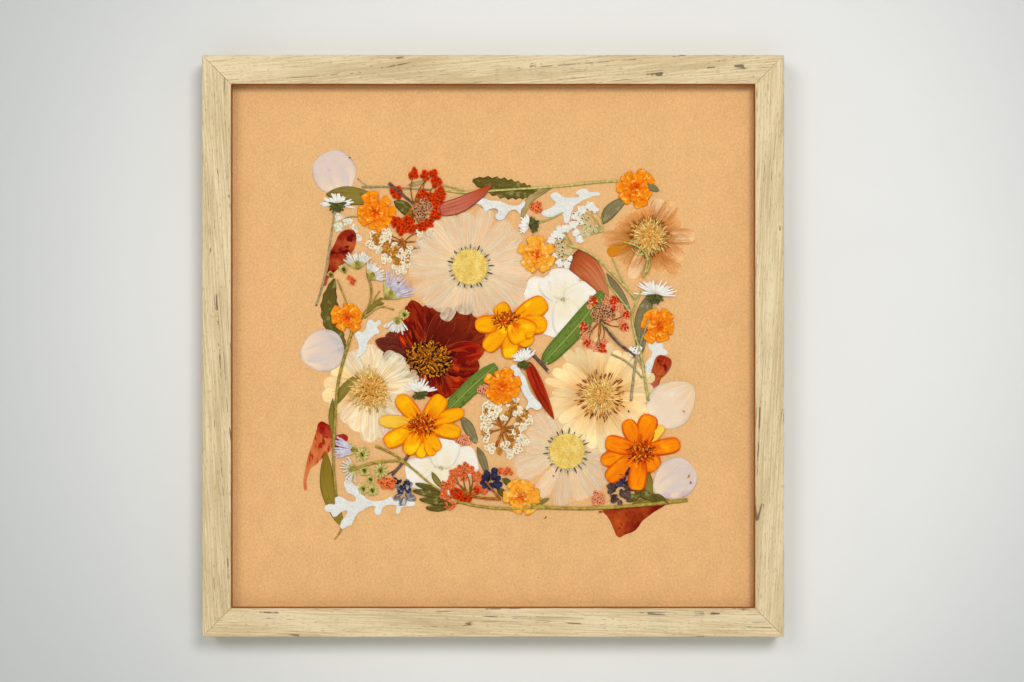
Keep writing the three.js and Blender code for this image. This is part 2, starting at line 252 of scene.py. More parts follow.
def backdrop(name, location, rotation, look):
    bpy.ops.object.select_all(action="DESELECT")
    bpy.ops.mesh.primitive_plane_add(size=WALL_SIZE, location=location, rotation=rotation)
    sheet = bpy.context.object
    bpy.ops.object.transform_apply(location=True, rotation=True, scale=True)
    sheet.name = name
    sheet.data.materials.append(look)
    sheet.visible_shadow = False


WALL_PAINTED_SHADE = paint(188, 190, 188)
wall_paint = mottled_finish(
    "wall paint", (229, 228, 224), (226, 225, 221), (222, 222, 220), 3.0, 0.85, fleck_scale=60.0,
    flecks=0.02)
tree = wall_paint.node_tree
# Painted shade: the wall turns grey with distance from a point near the frame, so it is darker towards the
# corners, where the light falls off.
away = wire(tree, "VectorMath", {0: wire(tree, "TexCoord").outputs["Object"], 1: WALL_BRIGHTEST},
            operation="DISTANCE").outputs["Value"]
painted_shade_colour = mixed(tree, between(tree, away, *WALL_SHADE_FALLOFF), tree.nodes["Group"].outputs["Colour"],
               WALL_PAINTED_SHADE)
tree.links.new(painted_shade_colour, tree.nodes["Principled BSDF"].inputs["Base Color"])
front_only = wire(tree, "MixShader", {
    0: wire(tree, "NewGeometry").outputs["Backfacing"],
    1: tree.nodes["Principled BSDF"].outputs[0],
    2: wire(tree, "BsdfTransparent").outputs[0]})
tree.links.new(front_only.outputs[0], tree.nodes["Material Output"].inputs["Surface"])
backdrop("wall", (0, cad_high.y + WALL_GAP, opening.z), (math.pi / 2, 0, 0), wall_paint)
floor_paint = mottled_finish(
    "floor paint", (228, 226, 222), (224, 222, 218), (215, 212, 208), 2.0, 0.7, fleck_scale=80.0,
    flecks=0.05)
backdrop("floor", (0, 0, opening.z - FLOOR_DROP), (0, 0, 0), floor_paint)


# ---- oak moulding -------------------------------------------------------------------
# Four mitred rails of pale limed oak, sanded and left open-pored. The grain runs along
# each rail at a slight slant, with dark pores and a few long fine checks.
GRAIN_SLANT = {"top": 5, "right": -3, "bottom": -2, "left": 4}
OAK_PALE = paint(229, 209, 169)
OAK_DEEP = paint(199, 175, 131)
OAK_PORE = paint(150, 122, 84)
OAK_CHECK = paint(84, 66, 52)
LIP_PAINTED_SHADE = paint(156, 84, 2)
LIP_FACE = pane_high.x - 4.9 * MM, pane_high.x - 4.3 * MM


def oak_group():
    """Grain along X: broad tone, fine streaks, short pores and long thin checks."""
    tree, given, result = group("oak grain", (
        ("Vector", "Vector", None), ("Pale", "Color", None), ("Deep", "Color", None),
        ("Pore", "Color", None), ("Check", "Color", None),
    ), (("Colour", "Color"), ("Height", "Float")))

    def streaks(along, across, detail, warp=0.0):
        drawn = wire(tree, "Mapping", {"Vector": given["Vector"], "Scale": (along, across, across)})
        return wire(tree, "TexNoise", {"Vector": drawn.outputs[0], "Scale": 1.0, "Detail": detail,
                                       "Roughness": 0.6, "Distortion": warp}).outputs[0]

    broad = streaks(9, 90, 2.0)
    fine = streaks(30, 1100, 4.0)
    pore = streaks(260, 1700, 1.0)
    check = streaks(6, 190, 1.0, 0.25)
    broken = streaks(90, 90, 3.0)
    tone = maths(tree, "ADD", maths(tree, "MULTIPLY", broad, 0.4),
                 maths(tree, "MULTIPLY", fine, 0.6))
    colour = mixed(tree, between(tree, tone, 0.38, 0.62), given["Deep"], given["Pale"])
    pore_mask = maths(tree, "MULTIPLY", between(tree, pore, 0.58, 0.70), 0.45)
    colour = mixed(tree, pore_mask, colour, given["Pore"])
    line = maths(tree, "ABSOLUTE", maths(tree, "SUBTRACT", check, 0.5))
    line = maths(tree, "SUBTRACT", 1.0, between(tree, line, 0.003, 0.012))
    line = maths(tree, "MULTIPLY", line, between(tree, broken, 0.5, 0.58))
    colour = mixed(tree, maths(tree, "MULTIPLY", line, 0.8), colour, given["Check"])
    tree.links.new(colour, result["Colour"])
    dips = maths(tree, "ADD", maths(tree, "MULTIPLY", pore_mask, 0.6), line)
    tree.links.new(maths(tree, "SUBTRACT", maths(tree, "MULTIPLY", fine, 0.4), dips),
                   result["Height"])
    return tree


oak_grain = oak_group()
for number, (side, slant) in enumerate(GRAIN_SLANT.items()):
    made, tree, shine = material(f"oak {side} rail", 0.6, Specular_IOR_Level=0.12)
    along = 0 if side in ("top", "bottom") else 90
    turned = wire(tree, "Mapping", {
        "Vector": wire(tree, "TexCoord").outputs["Object"], "Location": (0.37 * number, 0, 0),
        "Rotation": (0, math.radians(along + slant), 0)}).outputs[0]
    use_group(tree, shine, oak_grain, {"Vector": turned, "Pale": OAK_PALE, "Deep": OAK_DEEP,
                                       "Pore": OAK_PORE, "Check": OAK_CHECK}, 0.5, 0.25 * MM)
    # Painted shade: the lip's inner face, down in the recess, is painted dark brown where shade falls on
    # it.
    place = wire(tree, "VectorMath", {0: wire(tree, "TexCoord").outputs["Object"], 1: opening},
                 operation="SUBTRACT").outputs[0]
    place = wire(tree, "SeparateXYZ", {0: wire(tree, "VectorMath", {0: place},
                                               operation="ABSOLUTE").outputs[0]}).outputs
    from_middle = maths(tree, "MAXIMUM", place["X"], place["Z"])
    lip_painted_shade = mixed(tree, between(tree, from_middle, *LIP_FACE), LIP_PAINTED_SHADE,
                    tree.nodes["Group"].outputs["Colour"])
    tree.links.new(lip_painted_shade, shine.inputs["Base Color"])
    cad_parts[f"rail_{side}"].material_slots[0].material = made


# ---- glass --------------------------------------------------------------------------
# A plain 2 mm pane in the rebate. Lamps and light bounced off the flowers go straight
# through it, and the camera sees real glass.
glass, tree, shine = material("clear glass", 0.0, IOR=1.5, Transmission_Weight=1.0)
smudge = wire(tree, "TexNoise", {"Vector": wire(tree, "TexCoord").outputs["Object"],
                                 "Scale": 18.0, "Detail": 3.0}).outputs[0]
tint = mixed(tree, between(tree, smudge, 0.4, 0.7), (1, 1, 1, 1), (0.985, 0.995, 0.99, 1))
tree.links.new(tint, shine.inputs["Base Color"])
path = wire(tree, "LightPath").outputs
clear = wire(tree, "BsdfTransparent").outputs[0]
bounced = wire(tree, "MixShader", {0: path["Is Diffuse Ray"], 1: shine.outputs[0], 2: clear})
lamp_lit = wire(tree, "MixShader", {0: path["Is Shadow Ray"], 1: bounced.outputs[0], 2: clear})
tree.links.new(lamp_lit.outputs[0], tree.nodes["Material Output"].inputs["Surface"])
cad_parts["glass_pane"].material_slots[0].material = glass


# ---- kraft paper, backing board and fixings -----------------------------------------
# Tan kraft card with a cloudy, fibrous face, brown hardboard behind it, pressed zinc
# points round the board and a brass-plated hanger with its two nails.
kraft = mottled_finish(
    "kraft card", (239, 189, 128), (230, 175, 112), (222, 162, 98), 980.0, 0.9, fleck_scale=2100.0,
    flecks=0.45, bump=0.25, stretch=(1, 1, 0.7))
hardboard = mottled_finish(
    "hardboard", (146, 108, 74), (118, 84, 55), (86, 60, 40), 120.0, 0.75, fleck_scale=1500.0,
    flecks=0.5, stretch=(1, 1, 0.6))
zinc = mottled_finish(
    "zinc plate", (196, 199, 202), (164, 168, 172), (132, 134, 136), 500.0, 0.38, flecks=0.2,
    Metallic=0.9)
brass = mottled_finish(
    "brass plate", (206, 172, 104), (178, 142, 78), (120, 92, 50), 400.0, 0.34, flecks=0.25,
    Metallic=0.9)
for name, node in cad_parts.items():
    for start, look in (("kraft", kraft), ("backing", hardboard), ("retaining", zinc),
                        ("sawtooth", brass), ("hanger", brass)):
        if name.startswith(start):
            node.material_slots[0].material = look


# ---- how specimens are pressed and laid ---------------------------------------------
# Every specimen is shaped lying on a bench, in millimetres from the opening's middle,
# face up and with its top towards +Y. Then it is stood up against the kraft paper, in
# the layer of the solid that it stands for.
PAPER_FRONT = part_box("kraft_paper")[0].y
LIFT = 0.03
LAYER = 0.25
PRESSED = 0.42
PANE_GAP = 0.03
GOLDEN_ANGLE = 137.508


def tissue_group():
    """Dried petal or leaf skin along the piece's UV: U across it, V from base to tip."""
    tree, given, result = group("pressed tissue", (
        ("Piece", "Float", 0.5), ("Body", "Color", None), ("Base", "Color", None),
        ("Tip", "Color", None), ("Rim", "Color", None), ("Vein", "Color", None),
        ("Blotch", "Color", None), ("Base End", "Float", 0.3), ("Tip Start", "Float", 0.6),
        ("Veins", "Float", 9.0), ("Vein Share", "Float", 0.4), ("Midrib", "Float", 0.0),
        ("Blotches", "Float", 0.2), ("Blotch Scale", "Float", 300.0), ("Rim Width", "Float", 0.1),
        ("Spread", "Float", 0.12), ("Base Cover", "Float", 0.0),
    ), (("Colour", "Color"), ("Height", "Float"), ("Cover", "Float")))
    split = wire(tree, "SeparateXYZ", {0: wire(tree, "TexCoord").outputs["UV"]}).outputs
    across = maths(tree, "ABSOLUTE", maths(tree, "MULTIPLY_ADD", split["X"], 2.0, -1.0))
    drawn = wire(tree, "CombineXYZ", {
        "X": maths(tree, "MULTIPLY_ADD", split["X"], given["Veins"],
                   maths(tree, "MULTIPLY", given["Piece"], 37.0)),
        "Y": maths(tree, "MULTIPLY", split["Y"], 1.7),
        "Z": maths(tree, "MULTIPLY", given["Piece"], 51.0)}).outputs[0]
    vein = wire(tree, "TexNoise", {"Vector": drawn, "Scale": 1.0, "Detail": 2.5}).outputs[0]
    vein = between(tree, vein, 0.45, 0.62)
    cloud = wire(tree, "TexNoise", {"Vector": wire(tree, "TexCoord").outputs["Object"],
                                    "Scale": given["Blotch Scale"], "Detail": 3.0}).outputs[0]
    blotch = spots_in(tree, cloud, given["Blotches"], high=0.8, drop=0.5, edge=0.12)
    edge = maths(tree, "MAXIMUM", across, split["Y"])
    rim = between(tree, edge, maths(tree, "SUBTRACT", 1.0, given["Rim Width"]), 1.0)
    midrib = maths(tree, "SUBTRACT", 1.0, between(tree, across, 0.03, 0.13))
    midrib = maths(tree, "MULTIPLY", midrib, given["Midrib"])
    streaky = maths(tree, "ADD", split["Y"], maths(tree, "MULTIPLY_ADD", vein, 0.3, -0.12))
    grown = between(tree, streaky, 0.0, given["Base End"])
    colour = mixed(tree, grown, given["Base"], given["Body"])
    colour = mixed(tree, between(tree, split["Y"], given["Tip Start"], 1.0), colour, given["Tip"])
    colour = mixed(tree, maths(tree, "MULTIPLY", vein, given["Vein Share"]), colour, given["Vein"])
    colour = mixed(tree, blotch, colour, given["Blotch"])
    colour = mixed(tree, midrib, colour, given["Vein"])
    colour = mixed(tree, rim, colour, given["Rim"])
    tree.links.new(shaded(tree, colour, given["Piece"], given["Spread"], cloud), result["Colour"])
    ridges = maths(tree, "ADD", vein, maths(tree, "MULTIPLY", cloud, 1.2))
    tree.links.new(maths(tree, "SUBTRACT", ridges, midrib), result["Height"])
    cover = maths(tree, "MAXIMUM", rim, maths(tree, "MULTIPLY", vein, 0.5))
    base_cover = maths(tree, "MULTIPLY", maths(tree, "SUBTRACT", 1.0, grown), given["Base Cover"])
    tree.links.new(maths(tree, "MAXIMUM", cover, base_cover), result["Cover"])
    return tree


pressed_tissue = tissue_group()
DRY_SHEEN = 0.05
SKIN_RELIEF = 0.12 * MM
SKIN_COLOURS = ("Body", "Base", "Tip", "Rim", "Vein", "Blotch")


def tissue(name, body, roughness=0.62, bump=0.35, cover=None, **values):
    """A petal or leaf finish in colour-card colours. Those left out are the body's, and
    cover is (thin, thick)."""
    made, tree, shine = material(name, roughness, Specular_IOR_Level=DRY_SHEEN)
    feeds = {label.replace("_", " "): value for label, value in values.items()}
    feeds.update({label: paint(*feeds.get(label, body)) for label in SKIN_COLOURS})
    feeds["Piece"] = wire(tree, "NewGeometry").outputs["Random Per Island"]
    place = use_group(tree, shine, pressed_tissue, feeds, bump, SKIN_RELIEF)
    if cover:
        thin, thick = cover
        share = maths(tree, "MULTIPLY_ADD", place.outputs["Cover"], thick - thin, thin)
        tree.links.new(share, shine.inputs["Alpha"])
    return made


def matt_finish(name, *tones, **settings):
    """Dry plant skin without a sheen."""
    return mottled_finish(name, *tones, Specular_IOR_Level=DRY_SHEEN, **settings)


def along(points, share):
    """The place and direction at a share of a smooth route through the points."""
    spans = len(points) - 1
    at = min(max(share, 0.0), 1.0) * spans
    first = min(int(at), spans - 1)
    t = at - first
    four = [Vector(points[min(max(first + k, 0), spans)]) for k in (-1, 0, 1, 2)]
    a = 2 * four[1]
    b = four[2] - four[0]
    c = 2 * four[0] - 5 * four[1] + 4 * four[2] - four[3]
    d = 3 * four[1] - four[0] - 3 * four[2] + four[3]
    return (a + b * t + c * t ** 2 + d * t ** 3) / 2, b + 2 * c * t + 3 * d * t ** 2


def blade(width, spine, belly=0.6, base=0.35, blunt=2.2, rows=9, columns=4, thickness=0.06,
          ripple=0.03, notch=0.0, teeth=0.0, cup=0.0, seed=1):
    """A petal or leaf: a grid drawn out row by row to its outline along its spine."""
    bpy.ops.object.select_all(action="DESELECT")
    bpy.ops.mesh.primitive_grid_add(x_subdivisions=columns, y_subdivisions=rows, size=1)
    bpy.ops.object.mode_set(mode="EDIT")
    skin = bmesh.from_edit_mesh(bpy.context.object.data)
    for row in range(rows + 1):
        from_base = row / rows
        t = math.sin(math.pi / 2 * from_base)
        if t < belly:
            share = base + (1 - base) * math.sin(math.pi / 2 * t / belly)
        else:
            share = max(0.0, 1 - ((t - belly) / (1 - belly)) ** blunt) ** (1 / blunt)
        if teeth and row % 2:
            share *= 1 - teeth
        for vertex in skin.verts:
            vertex.select = abs(vertex.co.y - (from_base - 0.5)) < 0.4 / rows and not vertex.tag
        picked = [vertex for vertex in skin.verts if vertex.select]
        for vertex in picked:
            vertex.tag = True
        skin.select_flush_mode()
        place, heading = along(spine, t)
        turn = math.atan2(heading.y, heading.x) - math.pi / 2
        row_middle = (0, from_base - 0.5, 0)
        bpy.ops.transform.resize(value=(width * max(share, 0.05), 1, 1), center_override=row_middle)
        bpy.ops.transform.translate(value=(place.x, place.y - row_middle[1], 0))
        for vertex in picked:
            turned = Matrix.Rotation(turn, 2) @ (vertex.co.xy - place)
            vertex.co.xy = place + turned
            side = abs(turned.x) / (width / 2)
            vertex.co.z = cup * side ** 2
            if notch and row == rows:
                vertex.co.xy -= heading.normalized() * notch * (1 - abs(turned.x) / width)
    bmesh.update_edit_mesh(bpy.context.object.data)
    bpy.ops.mesh.select_all(action="SELECT")
    if ripple:
        bpy.ops.transform.vertex_random(offset=ripple, normal=1, seed=seed)
    bpy.ops.object.mode_set(mode="OBJECT")
    made = bpy.context.object
    wall = made.modifiers.new("thickness", "SOLIDIFY")
    wall.thickness = thickness
    wall.offset = 1
    bpy.ops.object.modifier_apply(modifier=wall.name)
    return made


def petal(length, width, **shape):
    return blade(width, ((0, 0), (0, length)), **shape)


def strewn(name, patterns, places, look=None):
    """One piece of a copy of a pattern at each place: (which pattern, matrix)."""
    heap = bmesh.new()
    for which, place in places:
        copy = patterns[which].data.copy()
        copy.transform(place)
        heap.from_mesh(copy)
        bpy.data.meshes.remove(copy)
    made = bpy.data.objects.new(name, bpy.data.meshes.new(name))
    heap.to_mesh(made.data)
    heap.free()
    bpy.context.collection.objects.link(made)
    if look:
        made.data.materials.append(look)
    return made


def bin_all(*patterns):
    for pattern in patterns:
        bpy.data.objects.remove(pattern)


def joined(name, *parts):
    """Joins finished parts, each with its own finish, in one piece."""
    bpy.ops.object.select_all(action="DESELECT")
    for part in parts:
        part.select_set(True)
    bpy.context.view_layer.objects.active = parts[0]
    bpy.ops.object.join()
    parts[0].name = name
    parts[0].data.name = name
    return parts[0]


def lay(piece, slot, *nodes, level=0.0, on=None, thin=False):
    """Stands a bench piece up on the paper, in its node's layer or at a level. The paper
    holds up its lowest ripple, and the pane presses flat what is too thick for the space.
    Light goes through a thin piece."""
    carrier = nodes[0] if nodes else on
    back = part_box(carrier)[1].y if carrier else PAPER_FRONT - (LIFT + LAYER * level) * MM
    heights = [vertex.co.z for vertex in piece.data.vertices]
    sunk = max(0, (back - PAPER_FRONT) / MM - min(heights))
    space = (back - pane_high.y) / MM - PANE_GAP
    flattened = min(1, space / (max(heights) + sunk))
    piece.data.transform(Matrix.Diagonal((1, 1, flattened, 1)) @ Matrix.Translation((0, 0, sunk)))
    piece.visible_shadow = not thin
    upright = Matrix.Rotation(math.pi / 2, 4, "X") @ Matrix.Scale(MM, 4)
    piece.data.transform(Matrix.Translation((opening.x, back, opening.z)) @ upright)
    piece.data.shade_smooth()
    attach(piece, "root")
    if nodes:
        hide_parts(*nodes)


def spot(x, y, z=0.0, direction=90.0, out=0.0, wide=1.0, long=1.0, tilt=0.0):
    """A place at (x, y, z), turned so that +Y points in a direction, and moved out."""
    return (Matrix.Translation((x, y, z)) @ Matrix.Rotation(math.radians(direction - 90), 4, "Z")
            @ Matrix.Translation((0, out, 0)) @ Matrix.Rotation(math.radians(tilt), 4, "X")
            @ Matrix.Diagonal((wide, long, 1, 1)))


def crown(name, look, blanks, length, centre, petals, start, seed, steps=3, step=0.06, low=0.0):
    """Petals round a centre in one piece, copied from blanks of that length. Each is
    (direction, reach) or adds a width, and lies one of a few steps high."""
    draw = random.Random(seed)
    places = []
    for number, (direction, reach, *wide) in enumerate(petals):
        share = (wide[0] if wide else 1.0) * draw.uniform(0.94, 1.06)
        places.append((draw.randrange(len(blanks)), spot(
            *centre, low + step * (number % steps), direction, start, share, (reach - start) / length)))
    return strewn(name, blanks, places, look)


def sown(centre, radius, count, low, dome, seed, kinds=1, inner=0.0, squash=1.0, size=1.0,
         jitter=0.25):
    """Places spread evenly over a disc, turned outwards, on a low dome."""
    draw = random.Random(seed)
    places = []
    for number in range(count):
        share = math.sqrt(inner ** 2 + (1 - inner ** 2) * (number + 0.5) / count)
        turn = number * GOLDEN_ANGLE + draw.uniform(-20, 20) * jitter
        reach = radius * share
        grown = size * draw.uniform(1 - jitter, 1 + jitter)
        x = centre[0] + reach * math.cos(math.radians(turn))
        y = centre[1] + reach * math.sin(math.radians(turn)) * squash
        height = low + dome * (1 - share ** 2)
        places.append((draw.randrange(kinds), spot(x, y, height, turn, 0, grown, grown)))
    return places


def bead(width, height):
    """A seed-like bead: a small ball pressed flat."""
    bpy.ops.object.select_all(action="DESELECT")
    bpy.ops.mesh.primitive_ico_sphere_add(subdivisions=1, radius=width / 2)
    bpy.ops.object.mode_set(mode="EDIT")
    bpy.ops.mesh.select_all(action="SELECT")
    bpy.ops.transform.resize(value=(1, 1, height / width))
    bpy.ops.transform.translate(value=(0, 0, height / 2))
    bpy.ops.object.mode_set(mode="OBJECT")
    return bpy.context.object


def ruffled(places, seed):
    """The same places, each turned its own way."""
    draw = random.Random(seed)
    return [(which, place @ Matrix.Rotation(draw.uniform(-1.3, 1.3), 4, "Z"))
            for which, place in places]


def pad(centre, radius, height, look, squash=1.0, low=0.0):
    """A low button under a flower's florets: a ball pressed flat on the petals."""
    bpy.ops.object.select_all(action="DESELECT")
    bpy.ops.mesh.primitive_uv_sphere_add(segments=32, ring_count=12, radius=radius,
                                         location=(*centre, low + height * 0.4))
    bpy.ops.object.mode_set(mode="EDIT")
    bpy.ops.mesh.select_all(action="SELECT")
    bpy.ops.transform.resize(value=(1, squash, height / radius / 2))
    bpy.ops.transform.vertex_random(offset=height * 0.1, normal=1, seed=5)
    bpy.ops.object.mode_set(mode="OBJECT")
    made = bpy.context.object
    bpy.ops.object.transform_apply(location=True, rotation=True, scale=True)
    made.data.materials.append(look)
    return made


# ---- ox-eye daisies with smooth buttons ---------------------------------------------
# Two white daisies whose petals pressing has made thin as tissue, so that the paper and
# the flowers below show through. The button is a tight disc of yellow florets, ringed
# with pale bracts and dark dried stamens that stick out between the petals.
clear_petal = tissue(
    "clear daisy petal", (230, 210, 176), cover=(0.4, 0.82), Base=(236, 216, 176),
    Rim=(250, 240, 216), Vein=(238, 222, 190), Veins=7.0, Vein_Share=0.25, Base_End=0.3,
    Rim_Width=0.1, Spread=0.16, bump=0.08)
button_yellow = matt_finish(
    "button florets", (250, 222, 128), (240, 198, 94), (196, 142, 48), 300.0, 0.75,
    fleck_scale=1500.0, flecks=0.3, spread=0.3)
stamen_dark = matt_finish(
    "dried stamens", (124, 62, 26), (52, 30, 16), (30, 22, 18), 700.0, 0.7, spread=0.8)
bract_pale = matt_finish(
    "pale bracts", (226, 222, 200), (172, 168, 140), (120, 116, 92), 600.0, 0.75, spread=0.4)
BUTTON_RADIUS = 10.4
DAISY_TOP = (-13.1, 44.5), (
    (95, 31), (74, 34, 1.1), (49, 33.7), (33, 34), (16, 35, 1.05), (-5, 34.6), (-21, 34), (-34, 37),
    (-46, 34, 1.05), (-59, 31), (-78, 28), (-97, 27), (-116, 33.4, 0.9), (-128, 31, 0.8), (-141, 33),
    (-156, 35.4, 0.8), (-176, 34.4), (170, 34.4), (152, 34), (132, 33.6, 1.05), (114, 32.4))
DAISY_BOTTOM = (41.6, -59.3), (
    (132, 27.6), (154, 25), (174, 23.6), (-165, 31), (-153, 30.6), (-122, 29.8, 0.9), (-96, 31),
    (-72, 29, 0.95), (-55, 29.4, 0.9), (-40, 28.6), (-15, 27), (5, 28), (30, 25.6), (49, 26.6),
    (67, 24), (87, 23), (111, 23))

DAISY_LENGTH = 22
daisy_petals = [petal(DAISY_LENGTH, 9.6, belly=0.68, base=0.3, blunt=2.6, ripple=0.03, columns=6,
                      seed=s) for s in (1, 2, 3)]
floret = bead(0.85, 0.28)
slivers = [petal(2.6, 0.6, belly=0.3, base=0.7, rows=3, columns=2, thickness=0.12, ripple=0.05,
                 seed=s) for s in (1, 2)]
for name, (centre, petals) in (("daisy_top", DAISY_TOP), ("daisy_bottom", DAISY_BOTTOM)):
    seed = len(name)
    lay(crown(name, clear_petal, daisy_petals, DAISY_LENGTH, centre, petals, BUTTON_RADIUS - 1.5, seed),
        "petal_cream", name, thin=True)
    draw = random.Random(seed)
    fringe = [(draw.randrange(2), spot(
        *centre, 0.24, k * 8 + draw.uniform(-3, 3), BUTTON_RADIUS - 1, draw.uniform(0.8, 1.7),
        draw.uniform(0.8, 1.3))) for k in range(45)]
    spikes = [(draw.randrange(2), spot(
        *centre, 0.34, k * 17 + draw.uniform(-5, 5), BUTTON_RADIUS - 0.6, draw.uniform(0.7, 1.3),
        draw.uniform(0.8, 1.6))) for k in range(21)]
    lay(joined(
        f"{name}_button", pad(centre, BUTTON_RADIUS - 0.4, 0.5, button_yellow, low=0.16),
        strewn("florets", [floret], sown(centre, BUTTON_RADIUS, 620, 0.25, 0.2, seed), button_yellow),
        strewn("bracts", slivers, fringe, bract_pale),
        strewn("stamens", slivers, spikes, stamen_dark)),
        "petal_cream", on=name)


# ---- daisies with fuzzy middles -----------------------------------------------------
# Three larger daisies, yellow, cream and brown, with thin stained petals. Their discs of
# golden florets have loosened, and dried hairs lie round them over the petals.
golden = matt_finish(
    "golden florets", (255, 236, 160), (250, 208, 112), (186, 122, 36), 500.0, 0.7, spread=0.5)
umber = matt_finish(
    "brown florets", (178, 100, 20), (116, 60, 12), (58, 34, 12), 600.0, 0.7, spread=0.8)
disc_tan = matt_finish(
    "disc", (228, 168, 80), (198, 128, 42), (120, 66, 14), 500.0, 0.75, fleck_scale=900.0, flecks=0.5)
yellow_petal = tissue(
    "yellow daisy petal", (255, 242, 192), cover=(0.44, 0.9), Base=(222, 152, 52),
    Tip=(255, 242, 206), Rim=(255, 246, 214), Vein=(246, 204, 122), Veins=11.0, Vein_Share=0.75,
    Base_End=0.5, Base_Cover=0.8, Rim_Width=0.05, Spread=0.3)
white_petal = tissue(
    "white daisy petal", (242, 226, 188), cover=(0.4, 0.9), Base=(242, 210, 148), Tip=(242, 232, 208),
    Rim=(252, 246, 224), Vein=(250, 240, 214), Veins=9.0, Vein_Share=0.7, Base_End=0.4,
    Rim_Width=0.08, Spread=0.3)
amber_petal = tissue(
    "brown daisy petal", (240, 192, 118), cover=(0.16, 0.6), Base=(184, 92, 0), Tip=(250, 216, 150),
    Rim=(236, 190, 112), Vein=(208, 136, 44), Veins=9.0, Vein_Share=0.7, Base_End=0.85,
    Base_Cover=0.95, Rim_Width=0.06, Spread=0.2)
ochre_petal = tissue(
    "ochre daisy petal", (212, 134, 16), cover=(0.75, 0.95), Base=(190, 100, 10), Vein=(190, 112, 14),
    Veins=7.0, Vein_Share=0.5)
pale_petal = tissue(
    "pale daisy petal", (244, 222, 176), cover=(0.4, 0.8), Base=(196, 116, 30), Rim=(252, 236, 200),
    Vein=(236, 200, 140), Veins=7.0, Vein_Share=0.5, Base_End=0.5)
RING_OF_YELLOW = tuple((8 + k * 12, 30 + 3 * math.sin(2.1 * k), 0.72 + 0.14 * math.sin(1.3 * k))
                       for k in range(30))
straw_hairs = matt_finish(
    "straw hairs", (240, 196, 110), (204, 140, 54), (140, 80, 22), 600.0, 0.7, spread=0.7)
FUZZY = {
    # centre, petals, other petals and their finish, disc, hollow, hairs' reach and finish,
    # the petals' finish, slot
    "daisy_yellow": ((60.5, -28), RING_OF_YELLOW, (), None, 8.2, 0, 13.5, umber, yellow_petal,
                     "petal_pale_yellow"),
    "daisy_cream": ((-68.9, -24.6), (
        (95, 25.6, 1.4), (62, 25), (74, 23.5), (38, 25.5), (50, 24), (17, 28.7), (1, 20), (-19, 19),
        (-40, 23), (-60, 26), (-77, 28, 1.2), (-92, 29.6, 1.3), (-111, 25, 1.2), (-131, 24),
        (122, 24.5), (108, 24)), ((-154, 26), (-172, 27.7), (171, 27), (150, 25), (136, 24)),
        yellow_petal, 10.6, 2.6, 12.8, straw_hairs, white_petal, "petal_pale_yellow"),
    "daisy_brown": ((87.9, 61.6), (
        (0, 26), (30, 20), (54, 24), (73, 22.2), (92, 17), (115, 18), (133, 17), (151, 19), (167, 20),
        (183, 26.7), (-140, 22), (-125, 22), (-113, 25.6), (-100, 23), (-80, 19),
        (-66, 21), (-51, 26.3), (-35, 23.2), (-18, 20)), ((-158, 25.4, 0.75),), ochre_petal, 9.4, 0, 11,
        umber, amber_petal, "petal_amber"),
}

BROAD_LENGTH = 20
BROAD_START = 4
broad_petals = [petal(BROAD_LENGTH, 9, belly=0.66, base=0.46, blunt=2.4, ripple=0.05, columns=6,
                      seed=s) for s in (4, 5, 6)]
quills = [petal(3.0, 0.55, belly=0.7, base=0.5, rows=3, columns=2, thickness=0.16, ripple=0.06,
                seed=s) for s in (7, 8, 9)]
for seed, (name, flower) in enumerate(FUZZY.items()):
    centre, petals, others, other_look, disc, hollow, reach, hair_look, look, slot = flower
    rings = [crown(name, look, broad_petals, BROAD_LENGTH, centre, petals, BROAD_START, seed)]
    if others:
        rings.append(crown("others", other_look, broad_petals, BROAD_LENGTH, centre, others,
                           BROAD_START, seed))
    lay(joined(name, *rings), slot, name, thin=True)
    loose = sown(centre, reach - 1.4, 120, 0.24, 0.1, seed + 19, 3, 0.66, size=0.8, jitter=0.5)
    inner = sown(centre, disc + 0.4, 120, 0.28, 0.1, seed + 9, 3, 0.5, size=0.6, jitter=0.5)
    florets = sown(centre, disc - 0.5, int(disc ** 2 * 3.2), 0.36, 0.14, seed, 3, hollow / disc,
                   size=0.38, jitter=0.3)
    parts = [pad(centre, disc * 0.9, 0.3, disc_tan, low=0.16),
             strewn("loose hairs", quills, loose, hair_look),
             strewn("gold hairs", quills, inner, golden),
             strewn("florets", quills, ruffled(florets, seed), golden)]
    if hollow:
        ring = sown(centre, hollow + 0.8, 24, 0.4, 0.1, seed, 3, 0.5, size=0.45)
        parts.append(strewn("brown ring", quills, ruffled(ring, seed + 3), umber))
    lay(joined(f"{name}_middle", *parts), slot, on=name)
lay(crown("daisy_brown_tips", pale_petal, broad_petals, BROAD_LENGTH, FUZZY["daisy_brown"][0], (
    (73, 22.2, 0.8), (54, 24, 0.7), (-113, 25.6, 0.8), (0, 26, 0.7), (-35, 23.2, 0.7)),
    BROAD_START, seed=9), "petal_amber", on="daisy_brown", thin=True)
lay(crown("daisy_cream_over", white_petal, broad_petals, BROAD_LENGTH, FUZZY["daisy_cream"][0], (
    (58, 25), (46, 26, 1.1), (34, 25.4, 1.1), (16, 28, 1.1), (5, 25)), start=9, seed=4),
    "petal_pale_yellow", level=3.3, thin=True)


